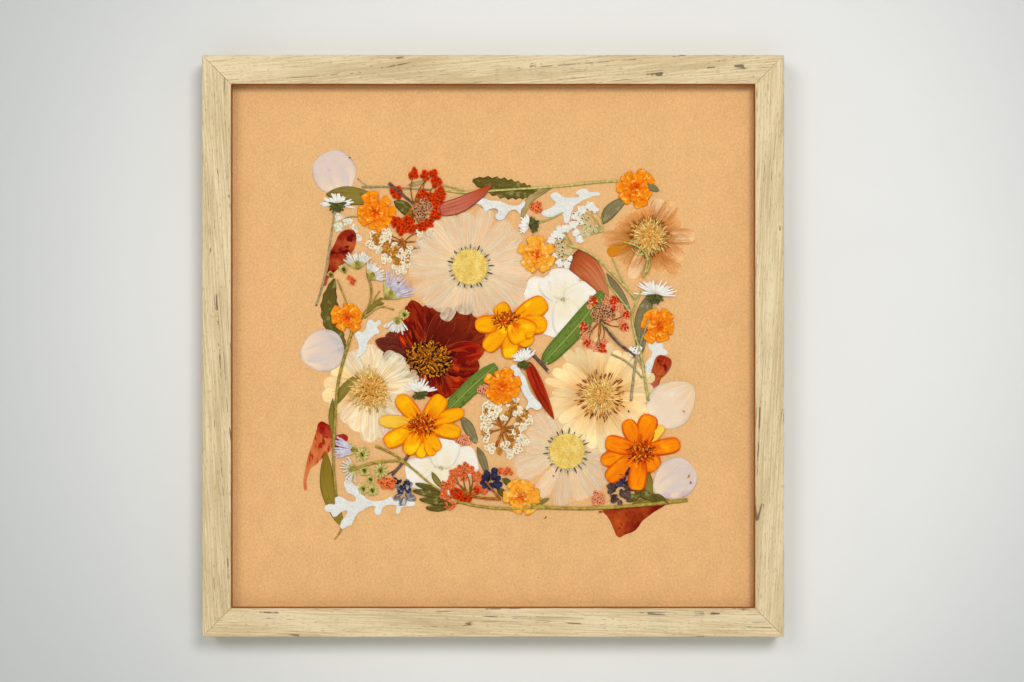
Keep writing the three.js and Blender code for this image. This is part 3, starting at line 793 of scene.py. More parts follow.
# ---- crimson flower -----------------------------------------------------------------
# A dark red coneflower: broad maroon petals, nearly black at the cone and brick brown at
# their tips, round a low cone of gold and black chaff.
# Painted shade: the large dark blotches darken broad patches of each petal as shade would.
crimson_petal = tissue(
    "crimson petal", (164, 14, 0), Base=(84, 2, 0), Tip=(170, 70, 20), Rim=(184, 92, 46),
    Vein=(196, 74, 8), Blotch=(112, 8, 0), Veins=7.0, Vein_Share=0.55, Blotches=0.56,
    Blotch_Scale=90.0, Tip_Start=0.6, Rim_Width=0.05, Spread=0.8, Base_End=0.6, bump=0.4)
rust_petal = tissue(
    "rust petal of the crimson flower", (158, 50, 12), cover=(0.9, 0.98), Base=(92, 6, 0),
    Tip=(174, 84, 36), Rim=(190, 104, 58), Vein=(92, 6, 0), Blotch=(118, 14, 0), Veins=9.0,
    Vein_Share=0.8, Blotches=0.4, Blotch_Scale=160.0, Rim_Width=0.05, Spread=0.4, Base_End=0.6,
    bump=0.4)
mauve_petal = tissue(
    "mauve petal", (116, 42, 26), cover=(0.86, 0.96), Base=(74, 10, 2), Tip=(150, 74, 54),
    Rim=(160, 88, 66), Vein=(86, 24, 14), Veins=9.0, Vein_Share=0.6, Rim_Width=0.05, Spread=0.3,
    Base_End=0.5)
chaff_gold = matt_finish(
    "gold chaff", (236, 158, 34), (186, 104, 14), (110, 50, 4), 600.0, 0.7, spread=0.9)
chaff_black = matt_finish(
    "black chaff", (30, 14, 4), (12, 6, 4), (70, 34, 8), 600.0, 0.65, spread=0.6)
cone_brown = matt_finish(
    "cone", (172, 92, 18), (104, 44, 6), (36, 18, 4), 420.0, 0.75, fleck_scale=800.0, flecks=0.6)
CRIMSON_MIDDLE = (-36.4, -7.8)
CRIMSON_PETALS = (
    (-126, 22), (-106, 20), (-87, 21, 1.2), (-63, 24), (-46, 25, 1.2), (-28, 27, 1.4), (-8, 29, 1.3),
    (10, 32, 1.2), (78, 30), (92, 31), (106, 35, 1.1), (120, 29), (134, 24))
RUST_PETALS = ((24, 35, 1.3), (40, 36, 1.4), (53, 40, 1.3), (68, 32, 1.1), (112, 33, 0.7),
               (-70, 23, 0.8))
MAUVE_PETALS = ((150, 28), (160, 32, 0.9), (174, 26), (188, 24), (203, 20))
CRIMSON_LENGTH = 26
crimson_blanks = [petal(CRIMSON_LENGTH, 12.5, belly=0.6, base=0.5, blunt=b, ripple=0.12, columns=6,
                        notch=n, seed=s) for s, b, n in ((11, 1.5, 0), (12, 2.2, 1.4), (13, 1.3, 0))]
chaff = [petal(2.3, 0.75, belly=0.5, base=0.4, rows=3, columns=2, thickness=0.2, ripple=0.08,
               seed=s) for s in (14, 15)]
rings = [crown(label, look, crimson_blanks, CRIMSON_LENGTH, CRIMSON_MIDDLE, petals, start=4,
               seed=seed, steps=4, step=0.05, low=low)
         for label, look, petals, seed, low in (
             ("petals", crimson_petal, CRIMSON_PETALS, 21, 0.0),
             ("rust petals", rust_petal, RUST_PETALS, 24, 0.03),
             ("mauve petals", mauve_petal, MAUVE_PETALS, 22, 0.0))]
cone = pad(CRIMSON_MIDDLE, 11.8, 0.4, cone_brown, 0.72, 0.16)
gold = sown(CRIMSON_MIDDLE, 12.8, 230, 0.3, 0.2, 22, 2, squash=0.74, size=0.8, jitter=0.4)
black = sown(CRIMSON_MIDDLE, 12, 54, 0.44, 0.16, 23, 2, 0.1, 0.72, 1.2, 0.3)
lay(joined("crimson_flower", *rings, cone, strewn("gold", chaff, ruffled(gold, 1), chaff_gold),
           strewn("black", chaff, ruffled(black, 2), chaff_black)),
    "petal_crimson", "crimson_flower")


# ---- orange zinnias -----------------------------------------------------------------
# Three zinnias with firm, rounded petals that kept their colour. Each has a red, yellow
# and dark tuft in the middle. Two have a faded petal, and one has two folded over.
zinnia_orange = tissue(
    "zinnia petal", (255, 178, 2), Base=(230, 90, 0), Tip=(255, 164, 2), Rim=(244, 112, 0),
    Vein=(250, 140, 0), Blotch=(255, 200, 12), Blotches=0.5, Blotch_Scale=110.0, Veins=4.0,
    Vein_Share=0.5, Base_End=0.35, Rim_Width=0.34, Spread=0.08, bump=0.7)
zinnia_deep = tissue(
    "deep zinnia petal", (255, 142, 0), Base=(218, 74, 0), Tip=(255, 134, 0), Rim=(224, 76, 0),
    Vein=(240, 104, 0), Blotch=(255, 164, 6), Blotches=0.5, Blotch_Scale=110.0, Veins=4.0,
    Vein_Share=0.55, Base_End=0.35, Rim_Width=0.36, Spread=0.08, bump=0.7)
zinnia_faded = tissue(
    "faded zinnia petal", (255, 198, 56), Base=(246, 160, 30), Rim=(244, 160, 44),
    Vein=(252, 216, 116), Veins=5.0, Vein_Share=0.5, Rim_Width=0.3)
tuft_red = matt_finish("red tuft", (226, 92, 10), (178, 48, 4), (100, 26, 6), 500.0, 0.65, spread=0.5)
tuft_yellow = matt_finish(
    "yellow tuft", (250, 196, 50), (228, 150, 20), (160, 90, 20), 500.0, 0.65, spread=0.4)
ZINNIAS = {
    # centre, tuft (middle, radius, squash), finish, petals, faded petals, petals folded over
    "zinnia_left": ((-39.8, -44.2), ((-39.8, -44.2), 7.5, 0.7), zinnia_orange, (
        (131, 21.4), (-153, 23.8, 1.1), (-118, 19), (-93, 19, 0.8), (-72, 18.6, 0.7), (-57, 17.5, 0.7),
        (-13, 22), (17, 24.6, 0.85), (53, 19.6, 1.05)), ((175, 24.7, 0.8),), ()),
    "zinnia_centre": ((10.1, 13.4), ((7.4, 14.6), 7.6, 0.56), zinnia_orange, (
        (31, 23, 1.35), (-5, 20.5, 1.25), (-50, 16.7, 1.1), (-92, 20.7, 1.05), (-133, 21.4, 1.1),
        (185, 20.5, 1.05), (127, 12.5, 1.0)), (), ((-24, 14.6, 1.15), (-66, 12.6, 1.1))),
    "zinnia_right": ((82.9, -59.4), ((83.4, -59.8), 7.2, 0.8), zinnia_deep, (
        (75, 21.5, 1.15), (114, 19.6, 1.05), (164, 20.4), (-166, 23), (-139, 24.6, 1.1), (-96, 22, 1.1),
        (-48, 13.5, 1.2), (11, 22.8, 0.95)), ((48, 19.4, 0.6),), ()),
}
ZINNIA_LENGTH = 17
ZINNIA_START = 2.5
zinnia_petals = [petal(ZINNIA_LENGTH, 9.6, belly=0.58, base=0.46, blunt=b, ripple=0.07, thickness=0.12,
                       rows=10, columns=6, cup=-0.16, seed=s)
                 for s, b in ((16, 2.3), (17, 1.9), (26, 2.6))]
for seed, (name, flower) in enumerate(ZINNIAS.items()):
    centre, (middle, tuft, squash), look, petals, faded, folded = flower
    parts = [crown(name, look, zinnia_petals, ZINNIA_LENGTH, centre, petals, ZINNIA_START, seed,
                   step=0.09, low=0.1)]
    if faded:
        parts.append(crown("faded", zinnia_faded, zinnia_petals, ZINNIA_LENGTH, centre, faded,
                           ZINNIA_START, seed))
    parts.append(pad(middle, tuft * 0.8, 0.44, tuft_red, squash, 0.12))
    for label, share, count, low, inner, size, tone in (
            ("red tuft", 1, 80, 0.36, 0, 0.8, tuft_red),
            ("yellow tuft", 0.75, 22, 0.5, 0, 0.7, tuft_yellow),
            ("dark tuft", 1.05, 34, 0.46, 0.2, 0.6, chaff_black)):
        places = sown(middle, tuft * share, count, low, 0.16, seed, 2, inner, squash, size, 0.35)
        parts.append(strewn(label, chaff, ruffled(places, count), tone))
    if folded:
        parts.append(crown("folded", look, zinnia_petals, ZINNIA_LENGTH, centre, folded, start=1,
                           seed=5, steps=2, step=0.1, low=0.62))
    lay(joined(name, *parts), "petal_orange", name)


# ---- small marigolds ----------------------------------------------------------------
# Seven ruffled orange marigolds, each with whorls of notched petals and a tight deeper
# orange middle. Two are paler, and two have fewer petals.
# Painted highlight: the pale yellow-orange blotches on both marigold finishes stand for light catching the
# ruffled petals.
marigold_petal = tissue(
    "marigold petal", (255, 156, 14), Base=(230, 66, 0), Tip=(255, 168, 34), Rim=(252, 108, 0),
    Vein=(252, 112, 2), Veins=5.0, Vein_Share=0.7, Base_End=0.6, Blotch=(255, 200, 84), Blotches=0.5,
    Blotch_Scale=420.0, Rim_Width=0.1, Spread=0.16, bump=0.5)
marigold_pale = tissue(
    "pale marigold petal", (255, 178, 52), Base=(236, 92, 4), Tip=(255, 188, 74), Rim=(250, 130, 20),
    Vein=(250, 134, 22), Veins=5.0, Vein_Share=0.6, Base_End=0.45, Blotch=(255, 210, 112),
    Blotches=0.5, Blotch_Scale=420.0, Rim_Width=0.08, Spread=0.16, bump=0.5)
tuft_orange = matt_finish(
    "orange tuft", (250, 122, 10), (214, 60, 0), (140, 30, 0), 600.0, 0.65, spread=0.7)
MARIGOLDS = (
    # middle, reach, outer petals, inner petals, finish
    ((-66.6, 75.6), 11.8, 9, 8, marigold_petal), ((80.1, 89), 11.2, 7, 6, marigold_petal),
    ((24.6, 51.5), 10.8, 8, 4, marigold_pale), ((-82.3, 16.2), 9.6, 7, 5, marigold_petal),
    ((93, 11.2), 10.4, 6, 6, marigold_petal), ((5, -23), 11.2, 8, 7, marigold_petal),
    ((15.7, -85.1), 11, 6, 4, marigold_pale))
RUFFLED_LENGTH = 8
ruffled_petals = [petal(RUFFLED_LENGTH, 6.8, belly=0.78, base=0.26, blunt=3.2, ripple=0.22, thickness=0.1,
                        notch=n, rows=8, columns=6, cup=0.12, seed=s)
                  for s, n in ((18, 1.3), (19, 0.7), (20, 1.8), (21, 1.0))]
for number, (middle, reach, outer, inner, look) in enumerate(MARIGOLDS, 1):
    draw = random.Random(number)
    name = f"marigold_{number}"
    parts = []
    for label, count, share, low in (("outer", outer, 1.0, 0.0), ("inner", inner, 0.68, 0.22),
                                     ("innermost", inner, 0.42, 0.4)):
        turned = [(360 / count * k + 10 * number + draw.uniform(-12, 12),
                   reach * share * draw.uniform(0.84, 1.04),
                   reach / 10 * (0.35 + 0.6 * share) * 7.2 / count * draw.uniform(0.85, 1.1))
                  for k in range(count)]
        parts.append(crown(label, look, ruffled_petals, RUFFLED_LENGTH, middle, turned, start=0.8,
                           seed=number, low=low))
    parts.append(pad(middle, 2.2, 0.5, tuft_orange, low=0.12))
    places = sown(middle, 2.8, 26, 0.44, 0.16, number, 2, size=0.5)
    parts.append(strewn("middle", chaff, ruffled(places, number), tuft_orange))
    lay(joined(name, *parts), "petal_orange", name)
bin_all(*daisy_petals, *broad_petals, *crimson_blanks, *zinnia_petals, *ruffled_petals)


# ---- white hydrangea florets --------------------------------------------------------
# Two single hydrangea florets, each of four broad paper-white sepals that overlap at a
# small cream bead.
sepal_white = tissue(
    "hydrangea sepal", (250, 241, 224), Base=(244, 230, 194), Tip=(252, 246, 232),
    Rim=(255, 252, 242), Vein=(240, 228, 206), Veins=7.0, Vein_Share=0.35, Base_End=0.5,
    Rim_Width=0.06, Spread=0.03)
bead_cream = matt_finish(
    "cream bead", (226, 212, 172), (196, 176, 128), (112, 86, 52), 700.0, 0.7, flecks=0.5)
HYDRANGEAS = {
    "hydrangea_right": ((39.5, 26), (
        (164, 22.4, 0.9), (88, 17.8, 1.0), (6, 18.8, 1.0), (-78, 19.5, 0.9), (-107, 21.8, 1.1),
        (128, 16.5, 0.8))),
    "hydrangea_left": ((-29.2, -68.9), (
        (-168, 20.4, 0.95), (15, 20.8, 0.95), (82, 16.6, 0.95), (-100, 17.6, 0.8), (-128, 18, 0.8))),
}
SEPAL_LENGTH = 19
sepals = [petal(SEPAL_LENGTH, 19, belly=0.62, base=0.4, blunt=2.6, ripple=0.06, thickness=0.07, rows=10,
                columns=8, seed=s) for s in (31, 32)]
for seed, (name, (centre, petals)) in enumerate(HYDRANGEAS.items()):
    four = crown(name, sepal_white, sepals, SEPAL_LENGTH, centre, petals, start=0, seed=seed,
                 steps=4, step=0.07)
    eye = strewn("bead", [floret], sown(centre, 1.3, 7, 0.3, 0.2, seed), bead_cream)
    lay(joined(name, four, eye), "petal_white", name)


# ---- honesty pods -------------------------------------------------------------------
# Four round papery inner walls of honesty pods, pointed where the stalk was, with fine
# veins that fan out from there and a thin firm rim.
pod_lilac = tissue(
    "lilac honesty pod", (220, 208, 198), cover=(0.6, 0.9), Base=(236, 220, 194), Tip=(214, 198, 194),
    Rim=(206, 178, 152), Vein=(214, 198, 194), Veins=6.0, Vein_Share=0.4, Blotch=(206, 190, 192),
    Blotches=0.45, Blotch_Scale=90.0, Rim_Width=0.035)
pod_beige = tissue(
    "beige honesty pod", (234, 220, 198), cover=(0.6, 0.9), Base=(232, 210, 172), Tip=(238, 224, 206),
    Rim=(206, 174, 132), Vein=(226, 206, 178), Veins=6.0, Vein_Share=0.4, Blotch=(240, 226, 206),
    Blotches=0.4, Blotch_Scale=90.0, Rim_Width=0.035)
PODS = (
    (25.0, ((-83, 85.5), (-89, 96.9), (-95.5, 108.5)), pod_lilac),
    (24.4, ((-109, -5.8), (-96.3, -2.8), (-84.4, 0.4)), pod_lilac),
    (26.5, ((112.8, -22.2), (100.2, -33), (90.2, -41.6)), pod_beige),
    (23.5, ((90.6, -82.8), (102.5, -75), (112.6, -68.2)), pod_lilac),
)
for number, (width, spine, look) in enumerate(PODS, 1):
    name = f"honesty_disc_{number}"
    disc = blade(width, spine, belly=0.5, base=0.07, blunt=2.0, rows=14, columns=10, ripple=0.05,
                 seed=number)
    disc.data.materials.append(look)
    lay(joined(name, disc), "pod_skin", name, thin=True)


# ---- silver leaves ------------------------------------------------------------------
# Six lobed dusty-miller leaves and tips, covered in white felt. They are flat outlines
# with rounded lobes, cut from a sheet of felt-like leaf.
silver = matt_finish(
    "silver felt", (238, 235, 224), (224, 222, 212), (204, 202, 190), 700.0, 0.95, fleck_scale=2500.0,
    flecks=0.3, bump=0.5)
SILVER_LEAVES = {
    "silver_leaf_top": (
        (-11.5, 81.2), (-9.5, 82.6), (-6.5, 83.2), (-1.7, 82), (4, 81.6), (9.5, 79.3), (15, 79.6),
        (17.5, 81.8), (18, 80), (15.7, 76.7), (15, 74.4), (13.4, 76.5), (10, 76.5), (7.8, 74.3),
        (6.2, 71.8), (4, 71), (1.7, 71.8), (1.2, 73.6), (2.8, 75.6), (1.7, 77.3), (-2.8, 76.7),
        (-4.5, 75.6), (-5.3, 77.3), (-7.2, 79.5)),
    "silver_leaf_upper_right": (
        (32.2, 84.6), (33.6, 86.2), (36.4, 86.4), (38.5, 84.6), (41, 83.7), (44.8, 83.8), (48.7, 84.6),
        (46.5, 86.2), (47.5, 87.4), (51.5, 88.6), (54.5, 86.8), (60.3, 85.7), (56, 84.4), (52, 82.8),
        (48.5, 80.8), (46, 79.2), (44.6, 76.4), (43.7, 73.6), (42.6, 70), (41, 69), (39.8, 71),
        (39, 74.2), (36, 73.4), (32.5, 72.6), (28.6, 73.4), (27.2, 75.4), (30.5, 77), (34, 79),
        (35.4, 80.8), (33.4, 82.6)),
    "silver_leaf_left": (
        (-78, 6.4), (-76.5, 8.2), (-73.4, 8), (-71.7, 10), (-71.2, 13), (-69, 15), (-66.5, 13.4),
        (-64.2, 14.6), (-63.4, 12.8), (-65.4, 10.6), (-64.2, 7.6), (-66.6, 6.4), (-69.4, 4),
        (-71, 1.7), (-71.4, -1), (-72.8, -3.8), (-75.6, -6), (-77.6, -7.8), (-76.4, -4), (-75.8, 0),
        (-76.4, 3)),
    "silver_leaf_centre": (
        (9.8, -11.8), (11.8, -10.6), (14, -11.6), (15.6, -14.6), (18, -17.8), (19.4, -21.6),
        (21, -25.8), (24, -30), (27.4, -34.6), (24.4, -36), (21, -34.6), (18.5, -36), (19.8, -31.6),
        (17.4, -27.6), (15.6, -23.4), (13.4, -19), (11.4, -15.4)),
    "silver_leaf_right": (
        (88.3, 2.6), (90.4, 3.9), (92.6, 2.4), (95.2, 2.2), (95.6, -1), (98.4, -4), (95.8, -5.6),
        (93.6, -8.4), (93.2, -12), (91.6, -15.6), (90, -18.4), (87.4, -16.6), (85.6, -13.6), (86, -9.6),
        (88.6, -6.6), (89.6, -3), (87.6, -0.6)),
    "silver_leaf_bottom": (
        (-84, -77.3), (-82.9, -75.6), (-80.6, -76.2), (-78.4, -78.2), (-76.4, -79), (-75.6, -77.6),
        (-74.2, -79.6), (-73, -84), (-70.6, -86.4), (-66.6, -87.4), (-62.2, -87), (-59.4, -86),
        (-57.7, -84.8), (-56.4, -86.2), (-52, -87.4), (-44.4, -87.8), (-44, -89.4), (-47.6, -90.4),
        (-51.5, -91), (-52.6, -93.6), (-54, -94.8), (-55, -92.6), (-54.4, -90.4), (-57.7, -89.6),
        (-61, -90.2), (-62.6, -92.2), (-63.4, -94.8), (-66, -95), (-67, -92.8), (-66.4, -90.6),
        (-70.4, -90.8), (-73.4, -92.4), (-76.7, -94.8), (-78.6, -98), (-80, -100.8), (-82.4, -101.8),
        (-85.4, -103), (-86, -100), (-83.4, -96), (-82.2, -93), (-85.2, -93.2), (-89.8, -96.4),
        (-91.6, -93.8), (-94.6, -92.8), (-95, -90.8), (-91.4, -89), (-89.4, -89.4), (-88.8, -85.2),
        (-85, -85.4), (-82, -87.2), (-78, -87.4), (-77.4, -86), (-79, -84), (-82, -82.6), (-83.4, -80)),
}


def meshed(line, merging):
    """Makes a drawn curve a mesh: the active object, in edit mode and all selected."""
    drawn = bpy.data.objects.new(line.name, line)
    bpy.context.collection.objects.link(drawn)
    bpy.ops.object.select_all(action="DESELECT")
    drawn.select_set(True)
    bpy.context.view_layer.objects.active = drawn
    bpy.ops.object.convert(target="MESH")
    bpy.ops.object.mode_set(mode="EDIT")
    bpy.ops.mesh.select_all(action="SELECT")
    bpy.ops.mesh.remove_doubles(threshold=merging)
    bpy.ops.mesh.normals_make_consistent(inside=False)


def cut_out(outline, thickness=0.12, rounding=0.04):
    """A flat piece with a smooth outline through the points and rounded edges."""
    line = bpy.data.curves.new("outline", "CURVE")
    line.dimensions = "2D"
    line.fill_mode = "BOTH"
    line.extrude = thickness / 2 - rounding
    line.bevel_depth = rounding
    line.resolution_u = 3
    edge = line.splines.new("BEZIER")
    edge.bezier_points.add(len(outline) - 1)
    edge.use_cyclic_u = True
    for point, (x, y) in zip(edge.bezier_points, outline):
        point.co = (x, y, 0)
        point.handle_left_type = point.handle_right_type = "AUTO"
    meshed(line, 0.001)
    bpy.ops.transform.translate(value=(0, 0, thickness / 2))
    bpy.ops.object.mode_set(mode="OBJECT")
    return bpy.context.object


for name, outline in SILVER_LEAVES.items():
    leaf = cut_out(outline)
    leaf.data.materials.append(silver)
    lay(joined(name, leaf), "leaf_silver", name)


# ---- single red petals --------------------------------------------------------------
# Loose coneflower petals, dried to brick, crimson and salmon, thin at the base where
# they were pulled off, some folded or twisted under the press.
pink_skin = tissue(
    "pink petal", (208, 116, 88), Base=(188, 72, 14), Tip=(190, 84, 72), Rim=(116, 10, 30),
    Vein=(156, 50, 48), Veins=9.0, Vein_Share=0.6, Rim_Width=0.14, Base_End=0.4, bump=0.8)
crimson_skin = tissue(
    "crimson single petal", (166, 34, 6), Base=(204, 104, 44), Tip=(186, 86, 34), Rim=(186, 92, 64),
    Vein=(200, 82, 30), Blotch=(108, 8, 0), Veins=9.0, Vein_Share=0.6, Blotches=0.55,
    Blotch_Scale=190.0, Rim_Width=0.34, Base_End=0.5, bump=0.4)
brick_skin = tissue(
    "brick petal", (208, 104, 56), cover=(0.84, 0.96), Base=(218, 136, 88), Tip=(100, 0, 0),
    Rim=(170, 52, 20), Vein=(190, 74, 26), Veins=12.0, Vein_Share=0.6, Base_End=0.6, Tip_Start=0.35,
    Rim_Width=0.05)
narrow_skin = tissue(
    "narrow petal", (180, 42, 6), Base=(200, 66, 10), Tip=(178, 40, 6), Rim=(212, 96, 48),
    Vein=(74, 0, 0), Veins=6.0, Vein_Share=0.6, Midrib=0.85, Rim_Width=0.1)
folded_skin = matt_finish(
    "folded petal", (226, 140, 86), (204, 90, 34), (172, 40, 6), 90.0, 0.7, fleck_scale=420.0,
    flecks=0.55, bump=0.4, stretch=(1, 1, 0.4))
wrinkled_skin = matt_finish(
    "wrinkled petal", (194, 88, 44), (150, 30, 8), (104, 6, 0), 110.0, 0.65, fleck_scale=190.0,
    flecks=0.6, bump=0.6)
torn_skin = matt_finish(
    "torn petal", (196, 66, 44), (150, 14, 4), (110, 2, 0), 200.0, 0.7, fleck_scale=300.0, flecks=0.4,
    bump=0.4)
# The rust petal's broad pale and dark clouds are partly its own mottling, partly a painted highlight and
# painted shade.
rust_skin = matt_finish(
    "rust petal", (200, 86, 30), (126, 14, 0), (150, 36, 6), 48.0, 0.6, fleck_scale=260.0, flecks=0.4,
    bump=0.3)
RED_PETALS = {
    # width, spine, belly, base, blunt, finish of each part
    "petal_pink": ((8.8, ((-0.6, 90.8), (-8, 85.4), (-19, 79.4), (-30, 76.2)), 0.74, 0.04, 2.6,
                    pink_skin),),
    "petal_brick": ((14.2, ((64.8, 27), (55.4, 41.4), (44.2, 50.6)), 0.7, 0.06, 3.2, brick_skin),),
    "petal_narrow": ((7, ((34.2, -41.2), (26.6, -26), (19.4, -9)), 0.62, 0.06, 2.0, narrow_skin),),
    "petal_twisted": ((9.8, ((89.4, -19.4), (94.4, -12.4), (97, -5.6)), 0.66, 0.3, 2.4, crimson_skin),
                      (9.4, ((93.4, -15.4), (88.6, -22), (81.6, -32.4)), 0.86, 0.4, 4.0, pink_skin)),
}
for seed, (name, parts) in enumerate(RED_PETALS.items()):
    made = []
    for width, spine, belly, base, blunt, look in parts:
        made.append(blade(width, spine, belly=belly, base=base, blunt=blunt, rows=14, columns=6,
                          ripple=0.06, thickness=0.08, cup=0.05, seed=seed))
        made[-1].data.materials.append(look)
    lay(joined(name, *made), "petal_brick", name)
FOLD_LEVEL = 0.45
CUT_PETALS = {
    # slot, thickness, finish, outline
    "petal_crimson": ("petal_brick", 0.08, wrinkled_skin, (
        (-82.9, 65.4), (-78.7, 65.1), (-77.2, 61.9), (-77.7, 56.9), (-80.1, 52), (-83.6, 47.1),
        (-89.2, 42.1), (-92.8, 38.6), (-95.3, 33.7), (-93.9, 40), (-92.3, 47.1), (-91.8, 52.7),
        (-89.2, 57.7), (-86.4, 63.3))),
    "petal_folded": ("petal_brick", 0.08, folded_skin, (
        (-97.4, -42.8), (-94.4, -43.8), (-91.9, -45.6), (-91.2, -49.2), (-90.8, -53.6), (-91.4, -58.4),
        (-93.6, -61), (-96.9, -63.8), (-100.2, -67.2), (-102.6, -68.8), (-104.2, -72.2), (-105.3, -76.4),
        (-105.8, -81.6), (-106.9, -78.6), (-106.9, -74.6), (-106, -69.4), (-105, -64.6), (-103, -58.2),
        (-100.8, -51.5), (-99.2, -46.4))),
    "petal_folded_top": ("petal_brick", 0.08, torn_skin, (
        (-97.3, -42.6), (-94.2, -43.6), (-91.7, -45.5), (-91.1, -50.6), (-92.8, -52.2), (-95.8, -50.6),
        (-99.2, -47.4))),
    "petal_torn": ("petal_brick", 0.08, torn_skin, (
        (-89, -58.2), (-88.8, -50.6), (-86.6, -50), (-84.4, -49.6), (-81.8, -51.8), (-84, -54.9),
        (-86.6, -56.4))),
    "petal_triangle": ("petal_crimson", 0.1, rust_skin, (
        (61.8, -92.6), (64, -95.6), (66, -98.8), (68, -103.4), (70.6, -107.8), (74.6, -106.2),
        (78.6, -104.8), (81.6, -102.4), (83.8, -99), (87, -96.4), (91, -93.4), (97.4, -89.4),
        (98.6, -87.8), (90, -88.6), (76.7, -91), (68, -91.6))),
}
for name, (slot, thickness, look, outline) in CUT_PETALS.items():
    cut = cut_out(outline, thickness, 0.03)
    cut.data.materials.append(look)
    own_node = [name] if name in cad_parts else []
    lay(joined(name, cut), slot, *own_node, level=FOLD_LEVEL)


# ---- green and olive leaves ---------------------------------------------------------
# Leaves that kept some green: two long ones with a pale midrib, saw-edged dark ones,
# and smaller olive and grey ones tucked under the flowers.
green_skin = tissue(
    "green leaf", (100, 122, 44), Tip=(84, 104, 34), Rim=(60, 80, 22), Vein=(160, 170, 90),
    Veins=14.0, Vein_Share=0.3, Midrib=0.6, Blotch=(78, 100, 26), Blotches=0.5, Blotch_Scale=500.0,
    Rim_Width=0.08, Spread=0.0, bump=0.8)
olive_skin = tissue(
    "olive leaf", (136, 118, 44), Base=(118, 100, 34), Tip=(122, 106, 38), Rim=(96, 80, 24),
    Vein=(160, 144, 74), Veins=16.0, Vein_Share=0.45, Midrib=0.3, Blotch=(104, 86, 24), Blotches=0.45,
    Blotch_Scale=260.0, bump=0.5)
dark_skin = tissue(
    "dark green leaf", (112, 98, 38), Base=(98, 84, 30), Tip=(94, 82, 28), Rim=(70, 60, 16),
    Vein=(74, 64, 20), Veins=12.0, Vein_Share=0.6, Midrib=0.5, Blotch=(140, 130, 72), Blotches=0.5,
    Blotch_Scale=300.0, bump=0.6)
grey_skin = tissue(
    "grey leaf", (142, 128, 88), Base=(126, 112, 72), Tip=(118, 104, 66), Rim=(96, 84, 44),
    Vein=(108, 96, 56), Veins=12.0, Vein_Share=0.5, Midrib=0.3, Blotch=(162, 150, 110), Blotches=0.5,
    Blotch_Scale=260.0, bump=0.5)
tan_skin = tissue(
    "tan leaf", (214, 184, 124), cover=(0.6, 0.92), Base=(170, 146, 84), Tip=(160, 134, 70),
    Rim=(122, 104, 42), Vein=(176, 146, 86), Veins=9.0, Vein_Share=0.5, Rim_Width=0.14,
    Blotch=(160, 136, 80), Blotches=0.3, Blotch_Scale=140.0, bump=0.3)
spotted_skin = tissue(
    "spotted leaf", (152, 126, 42), Base=(134, 108, 28), Rim=(118, 92, 20), Vein=(126, 100, 20),
    Veins=8.0, Vein_Share=0.5, Blotch=(100, 70, 12), Blotches=0.26, Blotch_Scale=420.0, bump=0.4)
LEAVES = (
    # name, slot, width, spine, belly, base, blunt, saw teeth, finish
    ("leaf_olive", "leaf_olive", 10.4, ((-94.2, 85.4), (-81.2, 84.8), (-66, 82.6)), 0.5, 0.05, 1.7, 0,
     olive_skin),
    ("leaf_dark_green", "leaf_green", 11.4, ((-89.6, 38), (-92.4, 24), (-89.4, 9), (-83.6, -5)), 0.5,
     0.1, 1.6, 0.14, dark_skin),
    ("leaf_blade_right", "leaf_green", 10.8, ((61.8, 30.4), (48.7, 12.6), (28.4, -9.4)), 0.5, 0.3, 2.6,
     0, green_skin),
    ("leaf_blade_left", "leaf_green", 9.6, ((1.8, -11), (-10.6, -21.6), (-26.4, -37)), 0.5, 0.4, 2.8, 0.05,
     green_skin),
    ("leaf_grey_green", "leaf_grey", 8.4, ((89, 30), (84, 14.6), (83, -5)), 0.45, 0.1, 1.7, 0, grey_skin),
    ("leaf_spotted", "leaf_olive", 8.6, ((-94.4, -59.4), (-93, -80.6), (-85.6, -101)), 0.5, 0.05, 1.7, 0,
     spotted_skin),
    ("leaf_serrated", "leaf_olive", 12.4, ((-11.6, 93.4), (6.7, 88.8), (25.4, 86.4)), 0.48, 0.15, 1.6, 0.22,
     dark_skin),
)
for seed, (name, slot, width, spine, belly, base, blunt, teeth, look) in enumerate(LEAVES):
    leaf = blade(width, spine, belly=belly, base=base, blunt=blunt, rows=26 if teeth else 16, columns=6,
                 ripple=0.05, thickness=0.1, teeth=teeth, seed=seed)
    leaf.data.materials.append(look)
    lay(joined(name, leaf), slot, name)
